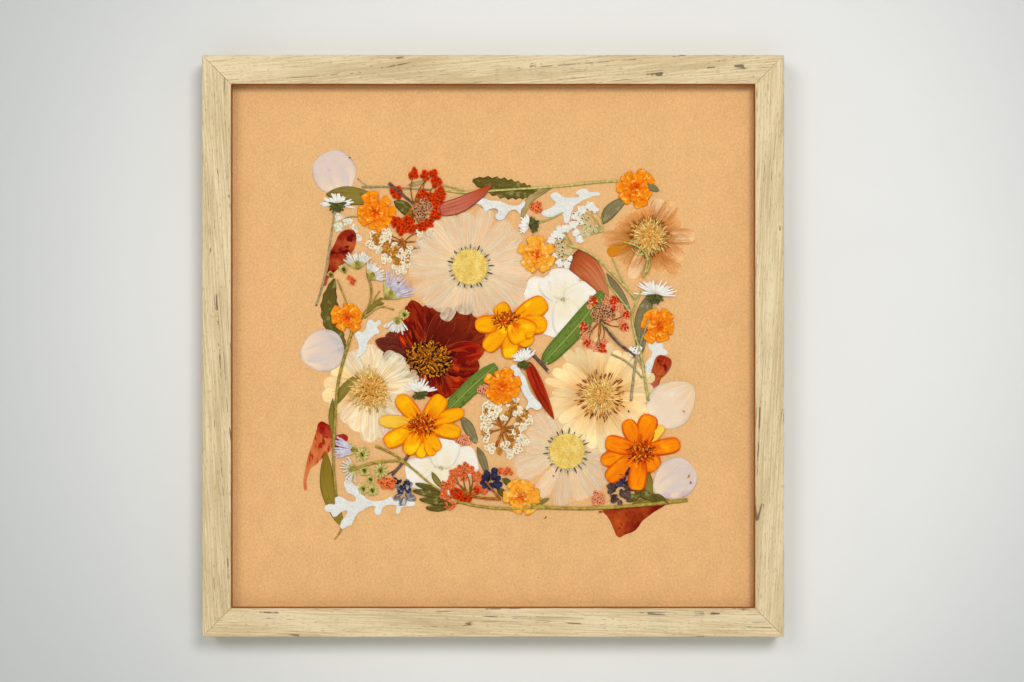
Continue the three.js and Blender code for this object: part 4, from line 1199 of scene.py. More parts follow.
LEAFLETS = (
    # level, width, spine, finish
    (0.2, 7, ((-56, 81.5), (-50, 78), (-45, 72)), dark_skin),
    (0.4, 7.6, ((61.6, 68.6), (66, 76), (74.5, 83)), grey_skin),
    (2.6, 4.2, ((84, 87.6), (88, 89.6), (93.4, 87.4)), grey_skin),
    (2.3, 5.4, ((-88.6, -33), (-84, -24.6), (-76.2, -16.6)), olive_skin),
    (1.8, 3.6, ((-90.4, -29.6), (-91, -41), (-89.4, -54)), olive_skin),
    (0.6, 6.2, ((-18, -40), (-14, -46), (-9.4, -55)), grey_skin),
    (0.6, 4.6, ((-9, -57), (-6, -64), (-3.4, -72)), grey_skin),
    (0.4, 7.6, ((83.6, -63), (86, -76), (90.4, -86)), olive_skin),
    (3.2, 3.4, ((-34.6, -71), (-32, -75.6), (-28.6, -80)), olive_skin),
    (3.6, 4.2, ((-23, -89.6), (-31, -87.8), (-41.6, -86.4)), dark_skin),
    (3.2, 4.4, ((-25, -85.6), (-34, -83.4), (-45.4, -81.6)), dark_skin),
    (3.4, 3.8, ((-24, -90.6), (-31, -91.4), (-38, -91.2)), dark_skin),
    (3.0, 3.6, ((-27, -84), (-36, -80), (-44, -77.6)), dark_skin),
    (1.4, 3.8, ((5, -74.8), (8, -76.6), (11, -79.8)), dark_skin),
    (1.2, 4.2, ((2, -80.6), (5, -82.6), (9, -86.4)), dark_skin),
    (2.6, 4.4, ((75, -87.6), (78.6, -85.6), (83, -84.2)), dark_skin),
    (2.2, 5, ((79.4, -81.4), (85, -83.6), (92, -87.4)), dark_skin),
    (2.4, 4, ((89.6, -84), (93, -85.4), (97, -87)), dark_skin),
    (1.6, 5.2, ((78, -89.4), (88, -87.8), (101, -88)), olive_skin),
    (2.6, 2.6, ((22, -91), (26, -88.6), (31.6, -85.8)), olive_skin),
    (2.6, 2.8, ((-73.8, 17.2), (-69, 21.4), (-63, 27.4)), olive_skin),
    (2.4, 2.6, ((-70.6, 20), (-66, 23.6), (-61.6, 24)), olive_skin),
    (0.3, 4.2, ((33, 89), (21, 83), (16, 71.6)), tan_skin),
    (0.2, 2.6, ((-48.4, 90.4), (-43.6, 91.4), (-37.6, 93)), tan_skin),
    (2.5, 4.6, ((64, 41), (71, 30), (77, 19)), grey_skin),
)
for level in sorted({entry[0] for entry in LEAFLETS}):
    made = []
    for seed, (own_level, width, spine, look) in enumerate(LEAFLETS):
        if own_level == level:
            made.append(blade(width, spine, belly=0.5, base=0.1, blunt=1.7, rows=10, columns=4,
                              thickness=0.08, seed=seed))
            made[-1].data.materials.append(look)
    lay(joined(f"leaflets_{level}", *made), "leaf_olive", level=level)


# ---- stalks -------------------------------------------------------------------------
# Long dried stalks that edge the bunch on all four sides, and thin ones that carry the
# heads. Each was round and is now pressed to an oval.
pale_stalk = matt_finish(
    "pale green stalk", (206, 198, 122), (168, 158, 80), (130, 112, 48), 500.0, 0.65, spread=0.25)
olive_stalk = matt_finish(
    "olive stalk", (190, 166, 76), (150, 126, 48), (108, 82, 24), 400.0, 0.65, spread=0.25)
grey_stalk = matt_finish(
    "grey stalk", (188, 172, 128), (152, 136, 94), (110, 92, 56), 500.0, 0.7, spread=0.25)
brown_twig = matt_finish(
    "brown twig", (184, 112, 38), (144, 76, 16), (92, 44, 6), 600.0, 0.7, spread=0.5)
purple_stalk = matt_finish("purple stalk", (128, 96, 78), (90, 62, 50), (60, 40, 32), 500.0, 0.65)


def stalks(name, look, routes):
    """Pressed stalks in one piece: each route is a thickness and its (x, y, height)s."""
    line = bpy.data.curves.new(name, "CURVE")
    line.dimensions = "3D"
    line.bevel_depth = 0.5
    line.bevel_resolution = 1
    line.resolution_u = 4
    line.use_fill_caps = True
    for thickness, points in routes:
        path = line.splines.new("BEZIER")
        path.bezier_points.add(len(points) - 1)
        for number, (point, (x, y, height)) in enumerate(zip(path.bezier_points, points)):
            point.co = (x, y, height / PRESSED + thickness / 2)
            point.handle_left_type = point.handle_right_type = "AUTO"
            point.radius = thickness * (1 - 0.35 * number / len(points))
    meshed(line, 0.0001)
    bpy.ops.object.mode_set(mode="OBJECT")
    made = bpy.context.object
    made.data.transform(Matrix.Diagonal((1, 1, PRESSED, 1)))
    made.data.materials.append(look)
    return made


lay(stalks("stalks_left", olive_stalk, (
    (1.9, ((-79.5, 8, 0.75), (-83, -3.5, 0.85), (-86, -14.5, 0.85), (-88, -26, 0.85), (-89, -41.5, 0.8),
           (-90, -64, 0.65), (-88.4, -85, 0.3))),
    (1.1, ((-85.5, -103, 0.3), (-87, -106, 0.15), (-89.4, -109, 0.1))),
    (1.0, ((-88, 37.5, 0.5), (-84, 28, 0.6), (-79.4, 15, 0.5))),
    (1.3, ((-71, 41, 0.7), (-68.6, 31.5, 0.7), (-70, 23, 0.7), (-74.5, 15, 0.5))),
    (0.9, ((-60.5, 27, 0.9), (-67, 25.4, 0.7), (-73.5, 15.5, 0.6))),
    (0.9, ((-56, 20.6, 0.9), (-63, 22, 0.8), (-72.6, 15.5, 0.6))),
    (0.8, ((-64, 31, 0.8), (-66.6, 27, 0.7), (-68, 24, 0.6))))), "leaf_olive")
lay(stalks("stalks_left_grey", grey_stalk, (
    (1.3, ((-99.8, 22.6, 0.1), (-98, 28, 0.2), (-94.5, 41.5, 0.5), (-92.5, 54, 0.6), (-90.5, 68, 0.5),
           (-89.4, 76, 0.4))),
    (1.2, ((-74, 89.5, 0.3), (-63, 89.7, 0.3), (-51, 89, 0.3), (-35.5, 88, 0.3))),
    (0.8, ((-76.6, 94.4, 0.1), (-73, 91.6, 0.3), (-68.5, 88.6, 0.4))),
    (0.8, ((-84, 72, 0.5), (-78, 73, 0.5), (-72, 71.6, 0.3))))), "leaf_grey")
lay(stalks("stalks_top", pale_stalk, (
    (1.5, ((70, 93, 0.3), (60, 92.5, 0.5), (37.5, 90, 0.5), (15, 88.5, 0.5), (-1.5, 87.4, 0.6),
           (-15.5, 86.4, 0.6), (-29, 87.8, 0.4))),
    (1.1, ((-30.5, 91, 0.3), (-23.5, 89.5, 0.4), (-15, 87, 0.4))),
    (1.2, ((25, 69.4, 0.4), (32, 71.6, 0.4), (39.4, 75.2, 0.2))))), "leaf_olive")
lay(stalks("stalks_right", pale_stalk, (
    (1.5, ((87.4, -31, 0.9), (85, -16, 1.0), (83, -3.5, 1.0), (80, 6, 1.0), (78.4, 17, 1.0),
           (79.5, 21.5, 1.0), (83.4, 31, 0.9))),
    (1.3, ((80.5, 26.5, 1.05), (65.5, 42.5, 0.9), (54.5, 52, 0.9), (41, 57.6, 0.5))),
    (1.1, ((78.6, 17.5, 1.05), (72, 26, 0.7), (62.5, 37.5, 0.8))),
    (1.0, ((80, 26, 1.0), (74.5, 34, 0.8), (67, 49.5, 0.6))),
    (1.3, ((84.4, 38.5, 1.1), (86.4, 45, 1.2), (86.6, 50, 1.2), (82, 55.6, 1.2), (73.4, 58.6, 0.9))),
    (1.0, ((86, 40.5, 1.15), (88, 47, 1.2), (86.4, 52, 1.2))),
    (0.8, ((85, 51.6, 1.15), (80.6, 52, 1.1), (78, 55, 1.0))))), "leaf_olive")
lay(stalks("stalks_right_grey", grey_stalk, (
    (1.5, ((77.6, -31, 0.9), (79, -18, 1.0), (80.8, -6, 1.0), (87.6, 15, 0.8))),
    (1.4, ((61, 13.5, 1.0), (71, 2, 1.05), (80.6, -7, 1.05), (85.6, -12, 0.9))),
    (1.2, ((66.5, -4.5, 0.9), (76, -9.5, 0.95), (84, -18, 0.9))),
    (1.3, ((90, 28, 0.3), (90.6, 22, 0.3), (91, 15, 0.2))))), "leaf_grey")
lay(stalks("stalks_bottom", olive_stalk, (
    (2.1, ((109.4, -86.8, 0.4), (88, -89.2, 0.45), (54.5, -91.5, 0.5), (23.5, -91, 0.5), (9.5, -91.6, 0.5),
           (-8.5, -90.2, 0.5), (-20.6, -87.6, 0.5))),
    (1.5, ((38, -91.4, 0.4), (23, -89.6, 0.5), (9, -88.6, 0.4))),
    (1.6, ((-79, -69.6, 0.7), (-68, -66, 0.7), (-57.5, -64.8, 0.7), (-52, -65, 0.7), (-45, -69.5, 0.75),
           (-35.5, -77.5, 0.8), (-29.5, -81.6, 0.6))),
    (1.5, ((-66.4, -56.4, 0.4), (-61, -58.6, 0.5), (-53, -63, 0.5), (-47, -67.4, 0.5))))), "leaf_olive")
lay(stalks("stalks_dark", purple_stalk, (
    (2.1, ((-43.6, -55.6, 0.0), (-48, -62, 0.1), (-52, -67, 0.3), (-57, -73, 0.3))),
    (2.4, ((13.4, 4.4, 0.0), (21.4, -3.8, 0.2), (31, -14.2, 0.4))),
    (0.9, ((-51, -66.6, 0.5), (-56, -70.4, 0.4), (-60, -72.6, 0.4))))), "leaf_grey")


# ---- small white daisies seen from the side -----------------------------------------
# Five small daisies pressed on their side: a dark green cup with a row of narrow white
# rays standing out of it. A ray is turned from the cup's middle.
ray_white = tissue(
    "white ray", (252, 247, 236), Base=(214, 208, 170), Tip=(254, 250, 242), Rim=(244, 236, 218),
    Vein=(226, 216, 200), Veins=3.0, Vein_Share=0.4, Spread=0.12)
calyx_green = tissue(
    "green cup", (96, 96, 44), Base=(66, 62, 26), Tip=(130, 126, 76), Rim=(58, 54, 22),
    Vein=(50, 46, 20), Veins=7.0, Vein_Share=0.6, Spread=0.5)
calyx_yellow = tissue(
    "yellow-green cup", (214, 204, 118), Base=(146, 132, 52), Tip=(226, 216, 140), Rim=(176, 160, 80),
    Vein=(150, 134, 60), Veins=6.0, Vein_Share=0.7, Spread=0.4)


def fan(centre, first, last, count, out, length, low, seed, kinds=1, spread=0.15, step=0.03, dip=0.0):
    """Places side by side from one direction to another, for rays, hairs and scales."""
    draw = random.Random(seed)
    places = []
    for number in range(count):
        share = number / max(count - 1, 1)
        direction = first + (last - first) * share + draw.uniform(-4, 4)
        places.append((draw.randrange(kinds), spot(
            *centre, low + step * (number % 3), direction, out, draw.uniform(0.85, 1.15),
            length * draw.uniform(1 - spread, 1 + spread) * (1 - dip * math.sin(math.pi * share)))))
    return places


rays = [petal(1, 1.0, belly=0.7, base=0.5, rows=5, columns=2, thickness=0.05, ripple=0.02, seed=s)
        for s in (51, 52)]
scales = [petal(1, 1.5, belly=0.5, base=0.6, rows=4, columns=2, thickness=0.07, ripple=0.02, seed=s)
          for s in (53, 54)]
SIDE_DAISIES = (
    # middle of the cup, level, cup (directions, reach), rays (directions, from, reach), dip
    ((-88, 79.6), 2.4, (170, 370, 5.0), (-8, 182, 1.0, 10.2), 0.52),
    ((20.8, 68), 4.6, (-70, 80, 5.2), (100, 230, 1.0, 6.4), 0.1),
    ((91.4, 28.6), 4.6, (185, 345, 5.0), (0, 172, 0.6, 11.0), 0.34),
    ((17.4, -8.6), 5.6, (-150, -30, 4.4), (40, 175, 0.4, 7.6), 0.1),
    ((-41.6, -26.4), 4.2, (-150, 10, 4.2), (10, 150, 0.6, 8.4), 0.2),
)
for number, (middle, level, cup, standing, dip) in enumerate(SIDE_DAISIES, 1):
    cup_from, cup_to, cup_reach = cup
    ray_from, ray_to, start, reach = standing
    name = f"side_daisy_{number}"
    length = reach - start
    first = fan(middle, ray_from, ray_to, 19, start, length, 0.0, number, 2, 0.28, dip=dip)
    second = fan(middle, ray_from + 8, ray_to - 8, 9, start, length * 0.8, 0.1, number + 5, 2, 0.3,
                 dip=dip)
    outer = fan(middle, cup_from, cup_to, 9, 0, cup_reach, 0.16, number, 2)
    inner = fan(middle, cup_from + 15, cup_to - 15, 6, -0.4, cup_reach * 0.6, 0.26, number + 9, 2)
    lay(joined(name, strewn(name, rays, first, ray_white), strewn("second row", rays, second, ray_white),
               strewn("cup", scales, outer, calyx_green),
               strewn("cup scales", scales, inner, calyx_green)), "petal_white", level=level)


# ---- ageratum heads -----------------------------------------------------------------
# Small heads on thin stalks at the left edge: a ribbed yellow-green cup, and a tuft of
# lilac hairs that opens out of it. Direction is where the tuft points.
hair_lilac = matt_finish(
    "lilac hairs", (230, 222, 232), (204, 192, 212), (244, 238, 240), 600.0, 0.8, spread=0.3)
hair_white = matt_finish(
    "white hairs", (244, 238, 226), (220, 208, 190), (196, 180, 156), 600.0, 0.8, spread=0.2)
AGERATUM = (
    # cup's base, direction, cup width, cup length, hairs, hair reach, hair finish
    ((-76.2, 43.4), 95, 9.4, 6.4, 22, 9.6, hair_white), ((-70.6, 38), 40, 8.6, 6.6, 22, 9.4, hair_white),
    ((-60.6, 26.6), 48, 7.6, 9, 70, 15.5, hair_lilac), ((-53.6, 16), -98, 9, 5, 18, 8.8, hair_white),
    ((-83.4, 41), 110, 5.4, 4.8, 0, 5, hair_lilac), ((-90.2, 39), 140, 3.6, 3.6, 0, 4, hair_lilac),
    ((-50, 17.8), 90, 30, 3, 0, 4, hair_lilac), ((-76.4, -58.8), 172, 5.6, 5.4, 70, 12.6, hair_lilac),
    ((-73.8, -61), 0, 30, 4.4, 0, 4, hair_lilac), ((-77.8, -68.8), 196, 13, 5.2, 11, 8.4, hair_white),
    ((-72.4, -70.2), 0, 30, 3.2, 0, 4, hair_lilac), ((-63.4, -70.2), 0, 30, 4.4, 0, 4, hair_lilac),
    ((-69, -75.2), 0, 30, 2.4, 0, 4, hair_lilac), ((-73.2, -80.4), 0, 30, 3.2, 0, 4, hair_lilac),
    ((-68, -81.4), 0, 30, 3.2, 0, 4, hair_lilac))
STAR_WIDTH = 20
FINE_HAIRS = 40
DEGREES_PER_WIDTH = 5.5
fine_hairs = [petal(1, 0.32, belly=0.6, base=0.6, rows=3, columns=1, thickness=0.06, ripple=0.03,
                    seed=s) for s in (56, 57)]
for number, (place, direction, width, length, hairs, reach, look) in enumerate(AGERATUM, 1):
    first = direction - width * DEGREES_PER_WIDTH
    last = direction + width * DEGREES_PER_WIDTH
    name = f"ageratum_{number}"
    heart = spot(*place, 0.3, direction, 0 if width > STAR_WIDTH else length * 0.5).translation.xy
    parts = [strewn(name, scales, fan(place, first, last, 11, 0, length, 0.12, number, 2), calyx_yellow),
             strewn("heart", [floret], sown(heart, 1.3, 12, 0.26, 0.1, number, size=1.1), olive_stalk)]
    if hairs:
        start = length * 0.7
        tuft = fan(place, first, last, hairs, start, reach - start, 0.22, number + 7, 2, 0.3, 0.06)
        parts.append(strewn("tuft", fine_hairs if hairs > FINE_HAIRS else rays, tuft, look))
    else:
        seeds = sown(heart, 0.8, 3, 0.4, 0.1, number)
        parts.append(strewn("seeds", [floret], seeds, chaff_black))
    lay(joined(name, *parts), "leaf_olive", level=3.0)


# ---- umbels -------------------------------------------------------------------------
# Flat heads of tiny flowers on fine stalks that spread from a hub: white lace flowers
# with green ones inside, crowded cream ones with ochre husks, and orange-red cups.
def small_flower(reach, wide):
    """A tiny open flower: five petals round a point, as one pattern for copying."""
    one = petal(reach, reach * wide, belly=0.62, base=0.3, rows=3, columns=2, thickness=0.05,
                ripple=0.05, seed=5)
    turned = [(0, spot(0, 0, 0.02 * (k % 2), 72 * k + 20)) for k in range(5)]
    flower = strewn("flower pattern", [one], turned)
    bin_all(one)
    return flower


def spokes(look, hub, places, thickness, low=0.06, bow=0.1):
    """Fine pressed stalks from a hub out to each place, each bowed a little."""
    routes = []
    for number, (x, y) in enumerate(places):
        side = bow if number % 2 else -bow
        middle = ((hub[0] + x) / 2 - (y - hub[1]) * side, (hub[1] + y) / 2 + (x - hub[0]) * side, low)
        routes.append((thickness, ((*hub, low), middle, (x, y, low))))
    return stalks("spokes", look, routes)


def umbel(name, slot, level, hub, stalk_look, thickness, *layers):
    """An umbel of layers: clumps as (x, y, radius, count), then pattern, finish, height,
    size and crowding of what grows in them. Stalks run to the first layer's clumps."""
    draw = random.Random(len(name))
    parts = [spokes(stalk_look, hub, [clump[:2] for clump in layers[0][0]], thickness)]
    for clumps, pattern, look, low, size, *crowding in layers:
        spots = []
        for x, y, radius, seen in clumps:
            count = round(seen * crowding[0]) if crowding else seen
            for number in range(count):
                turn = number * 2.4 + draw.uniform(-0.4, 0.4)
                reach = radius * math.sqrt((number + 0.5) / count)
                spots.append((0, spot(
                    x + reach * math.cos(turn), y + reach * math.sin(turn), low + 0.05 * draw.randrange(4),
                    draw.uniform(0, 360), 0, size * draw.uniform(0.7, 1.15), size * draw.uniform(0.7, 1.15),
                    draw.uniform(-6, 6))))
        parts.append(strewn("florets", [pattern], spots, look))
    lay(joined(name, *parts), slot, level=level)


lace_white = tissue(
    "lace petal", (255, 252, 243), Base=(234, 224, 190), Tip=(255, 253, 247), Rim=(248, 241, 224),
    Vein=(240, 231, 208), Veins=3.0, Vein_Share=0.4, Spread=0.1)
lace_green = tissue(
    "green lace petal", (240, 224, 174), Base=(196, 178, 108), Tip=(244, 232, 190),
    Rim=(208, 190, 128), Vein=(188, 170, 104), Veins=3.0, Vein_Share=0.4, Spread=0.3)
dot_brown = matt_finish(
    "brown dots", (140, 96, 46), (88, 54, 24), (56, 32, 14), 800.0, 0.75, spread=0.8)
umbel_cream = tissue(
    "cream umbel petal", (255, 244, 214), Base=(222, 176, 104), Tip=(255, 250, 230),
    Rim=(246, 230, 188), Vein=(236, 210, 158), Veins=3.0, Vein_Share=0.4, Spread=0.16)
ochre_bits = matt_finish(
    "ochre husks", (214, 146, 54), (174, 104, 24), (104, 56, 10), 700.0, 0.75, spread=0.8)
cup_red = tissue(
    "red cup", (232, 66, 2), Base=(124, 16, 0), Tip=(242, 92, 22), Rim=(224, 52, 0),
    Vein=(178, 26, 0), Veins=3.0, Vein_Share=0.6, Spread=0.6)
cup_faded = tissue(
    "faded cup", (224, 160, 112), Base=(130, 76, 38), Tip=(238, 186, 142), Rim=(170, 98, 58),
    Vein=(140, 84, 46), Veins=3.0, Vein_Share=0.6, Spread=0.6)
cup_rimmed = tissue(
    "red-rimmed cup", (246, 176, 128), Base=(214, 124, 76), Tip=(238, 96, 36), Rim=(228, 66, 12),
    Vein=(220, 106, 60), Veins=3.0, Vein_Share=0.5, Tip_Start=0.55, Rim_Width=0.3, Spread=0.4)
cup_coral = tissue(
    "coral cup", (246, 128, 68), Base=(186, 66, 28), Tip=(252, 168, 122), Rim=(228, 80, 28),
    Vein=(222, 84, 34), Veins=3.0, Vein_Share=0.5, Spread=0.6)
middle_dark = matt_finish(
    "dark middles", (84, 30, 10), (34, 12, 4), (130, 80, 40), 700.0, 0.7, spread=0.6)
LACE_RIGHT_RIM = ((45, 68, 2, 9), (46.5, 73, 2, 9), (50, 76.6, 2.2, 10), (54.6, 78.8, 2.2, 10),
                  (57.4, 76.8, 1.6, 6), (46.6, 63.8, 1.8, 8), (48.6, 60.2, 1.8, 8), (48.8, 69.8, 1.4, 4))
LACE_RIGHT_HEART = ((51.4, 70.6, 3.6, 16), (52, 64, 3, 10), (57, 66.4, 2.2, 5))
LACE_LOWER_RIM = ((32.8, 59.4, 1.8, 8), (34.6, 62.8, 1.8, 8), (37.6, 65.4, 2, 9), (41.2, 66.2, 2, 9),
                  (38, 61.8, 1.8, 6), (37.2, 46.6, 1.8, 7), (41.4, 45.8, 1.8, 7), (34.4, 50.4, 1.4, 4),
                  (43.6, 49.4, 1.2, 3))
LACE_LOWER_HEART = ((38.4, 57, 3, 10), (38.4, 51, 3.6, 14), (42.6, 53, 2, 5))
LACE_LEFT = ((-87.6, 72.8, 2, 8), (-87.4, 67, 2.4, 9), (-82.4, 70.4, 2.4, 7), (-78.6, 65.8, 2.2, 6),
             (-76.6, 60.6, 2, 7), (-83.6, 63, 2, 5))
CREAM_LEFT = (
    (-67.5, 63, 1.6, 3), (-60.6, 62.2, 3.2, 12), (-69, 57.4, 1.8, 6), (-64.4, 54.4, 1.6, 4),
    (-60.6, 57.4, 2.4, 5), (-60, 50, 2.8, 8), (-55.8, 55.6, 1.6, 4), (-51.2, 51.4, 2.6, 8),
    (-47.8, 54.2, 2, 5), (-52.4, 44.2, 3.6, 11), (-48.4, 46.6, 1.4, 3), (-41.4, 64, 1.6, 3),
    (-35.4, 63, 2.6, 5), (-40, 57.2, 2, 4))
CREAM_LEFT_HUSKS = ((-65.4, 60.4, 3, 12), (-60.6, 55.4, 3, 12), (-56, 52.4, 3, 14), (-47.6, 49.2, 1.8, 8),
                    (-53.8, 47.2, 1.8, 7), (-43.8, 54, 1.6, 5))
CREAM_MIDDLE = (
    (-3, -34, 2.2, 5), (1.8, -34, 2.4, 6), (-4, -39.6, 2.4, 7), (0.4, -38.8, 1.8, 4), (-3.6, -43.6, 2.2, 6),
    (-4.6, -47, 2, 4), (-4.4, -51.8, 2, 4), (-1, -58, 2.6, 5), (7.2, -56.2, 2.2, 6), (9.4, -60.6, 2.2, 4),
    (13, -57.8, 2.4, 6), (16.6, -53.6, 2.6, 7), (13, -49.4, 2.4, 5), (15.4, -45.2, 2.4, 6),
    (19.4, -41.6, 2.2, 6), (14.2, -37.4, 2.8, 7), (11, -31.6, 2.6, 5), (6.4, -40.8, 1.2, 2))
CREAM_MIDDLE_HUSKS = ((11.6, -34, 2.4, 9), (8.8, -37.8, 1.4, 5), (18, -38.6, 2, 7), (15, -41.4, 1.8, 7),
                      (-5.2, -48.6, 1.4, 4), (10, -56, 1.4, 5), (10.8, -52, 1.6, 5), (3.4, -59.4, 1.2, 4),
                      (-4.4, -37, 1.4, 4), (13.6, -47.4, 1.4, 4))
RED_TOP = (
    (-54.8, 86.6, 3, 12), (-44.6, 97.2, 2.4, 8), (-38.4, 95.8, 2.2, 7), (-33.4, 97.2, 1.8, 5),
    (-32.2, 92.6, 2.4, 8), (-29.6, 86.4, 2.4, 8), (-39.6, 84.4, 3, 9), (-34.2, 83.4, 2.8, 10),
    (-29.6, 82.4, 2, 5), (-32.6, 78.8, 1.8, 4), (-33, 73.6, 2.4, 9), (-36.6, 69.4, 2.6, 9),
    (-40.6, 67.4, 2.2, 6), (-54.6, 70, 2.6, 9), (-47.8, 70.6, 2.6, 9), (-51.6, 66, 3, 9),
    (-46.6, 66.4, 2.2, 6))
RED_TOP_FADED = ((-38, 79.4, 3.4, 16), (-42.4, 77, 2.6, 10), (-40.4, 73.4, 2.8, 12))
RED_RIGHT = (
    (56.6, 25.4, 2.4, 8), (63, 25.6, 2.2, 7), (68.2, 25.6, 2.4, 9), (71, 21.8, 2, 6), (75, 18, 2, 6),
    (72, 14, 1.8, 4), (73.8, 10.8, 2, 6), (55, 21.4, 1.6, 4), (51.2, 11, 2.2, 8), (51, 6.4, 2.2, 7),
    (53.4, 1.8, 2, 5), (57, -0.4, 2.2, 7), (61.4, -1.4, 2.4, 7), (62, 2.4, 1.8, 4), (67.6, 20.6, 1.8, 4),
    (64.8, 15.6, 1.6, 3))
RED_RIGHT_FADED = ((58.6, 22.4, 2.2, 8), (63, 21.2, 2.4, 9), (66.8, 18.8, 2.2, 8), (58.4, 17, 3, 12),
                   (63.4, 17.6, 2.2, 8), (53.8, 9.4, 2, 6), (59.2, 0.4, 1.6, 4))
RED_BOTTOM = (
    (-16.4, -69, 3, 13), (-21.6, -72, 2.6, 11), (-12.4, -70.4, 2, 7), (-16.6, -73.2, 2.2, 8),
    (-23.4, -76.2, 2.2, 8), (-8.6, -73.4, 2.4, 9), (-5, -75.6, 2.2, 8), (-8, -78.4, 2, 6),
    (-5.4, -81.6, 1.8, 7), (-27.2, -79, 2.4, 9), (-24, -80.4, 2, 6), (-27.4, -84, 2.2, 8),
    (-28.6, -88.4, 2.2, 8), (-24.2, -89.6, 2.2, 9))
RED_BOTTOM_DARK = ((-21, -83, 2.6, 11), (-17.6, -85.2, 2.2, 8), (-13.4, -85.6, 1.8, 5), (-9.2, -81, 1.4, 3))
lace_flower = small_flower(1.35, 0.9)
cream_flower = small_flower(2.1, 1.1)
red_flower = small_flower(1.75, 1.1)
umbel("lace_right", "petal_white", 2.0, (62, 64.6), pale_stalk, 0.5,
      (LACE_RIGHT_RIM, lace_flower, lace_white, 0.22, 0.72, 1.7),
      (LACE_RIGHT_HEART, lace_flower, lace_green, 0.1, 0.72, 1.2),
      (((51.4, 70.6, 3.2, 5), (47, 74, 2, 2)), floret, dot_brown, 0.34, 1.2))
umbel("lace_lower", "petal_white", 2.2, (45.8, 55), pale_stalk, 0.5,
      (LACE_LOWER_RIM, lace_flower, lace_white, 0.22, 0.72, 1.7),
      (LACE_LOWER_HEART, lace_flower, lace_green, 0.1, 0.72, 1.2),
      (((38, 56, 3.6, 5), (38, 50, 3, 5), (39, 60, 2, 3)), floret, dot_brown, 0.34, 1.3))
umbel("lace_left", "petal_white", 0.0, (-82.6, 62), pale_stalk, 0.3,
      (LACE_LEFT, lace_flower, lace_white, 0.12, 0.7, 1.3),
      (LACE_LEFT, lace_flower, lace_green, 0.05, 0.8, 1.3))
umbel("floret_right", "petal_white", 5.0, (79, -2), pale_stalk, 0.5,
      (((79, -3, 2.2, 9), (81.6, -2, 1.6, 5)), lace_flower, lace_white, 0.1, 1.2),
      (((79.4, -1.6, 1.8, 4),), floret, chaff_black, 0.3, 1.0))
umbel("umbel_cream_left", "petal_pale_yellow", 1.4, (-50.4, 58.4), brown_twig, 0.7,
      (CREAM_LEFT, cream_flower, umbel_cream, 0.16, 0.85),
      (CREAM_LEFT_HUSKS, lace_flower, ochre_bits, 0.22, 1.0),
      (CREAM_LEFT[::2], floret, ochre_bits, 0.3, 0.9))
umbel("umbel_cream_middle", "petal_pale_yellow", 1.6, (5.8, -46.6), brown_twig, 0.75,
      (CREAM_MIDDLE, cream_flower, umbel_cream, 0.16, 0.9),
      (CREAM_MIDDLE_HUSKS, lace_flower, ochre_bits, 0.22, 1.0),
      (CREAM_MIDDLE[::2], floret, ochre_bits, 0.3, 0.9))
umbel("umbel_red_top", "petal_brick", 3.0, (-44.8, 80), brown_twig, 0.65,
      (RED_TOP, red_flower, cup_red, 0.16, 0.95), (RED_TOP_FADED, red_flower, cup_faded, 0.2, 0.85),
      (RED_TOP, floret, middle_dark, 0.32, 0.8), (RED_TOP_FADED, floret, middle_dark, 0.32, 1.0))
umbel("umbel_red_right", "petal_brick", 2.0, (60.5, 14.6), brown_twig, 0.65,
      (RED_RIGHT, red_flower, cup_rimmed, 0.16, 0.85), (RED_RIGHT_FADED, red_flower, cup_faded, 0.2, 0.75),
      (RED_RIGHT[::2], lace_flower, cup_red, 0.34, 0.7), (RED_RIGHT_FADED, floret, middle_dark, 0.32, 1.0))
umbel("umbel_red_bottom", "petal_brick", 2.4, (-13.4, -84), brown_twig, 0.65,
      (RED_BOTTOM, red_flower, cup_coral, 0.16, 0.82), (RED_BOTTOM_DARK, red_flower, cup_red, 0.2, 0.85),
      (RED_BOTTOM[::3] + RED_BOTTOM_DARK, floret, middle_dark, 0.32, 0.8))
lay(stalks("umbel_stalks", purple_stalk, (
    (1.8, ((-58.8, 91.8, 0.3), (-51.5, 85.7, 0.3), (-44.8, 80, 0.3))),
    (1.9, ((80.1, -5.6, 0.5), (73.9, -1.1, 0.5), (67.8, 4.5, 0.5), (60.5, 14.6, 0.4))))), "leaf_olive",
    level=1.8)
lay(stalks("umbel_stalks_brown", brown_twig, (
    (1.7, ((4.5, -86.2, 0.4), (-4.5, -85.7, 0.4), (-12.9, -84.6, 0.3))),
    (1.3, ((3.9, -86.2, 0.4), (-1.7, -79.5, 0.4), (-4.4, -76, 0.4))),
    (2.0, ((-52, 60.6, 0.2), (-50.4, 58.4, 0.2), (-49.6, 55, 0.1))),
    (1.8, ((1.6, -56.6, 0.2), (3.8, -51.4, 0.2), (5.8, -46.6, 0.2))))), "leaf_olive", level=1.8)


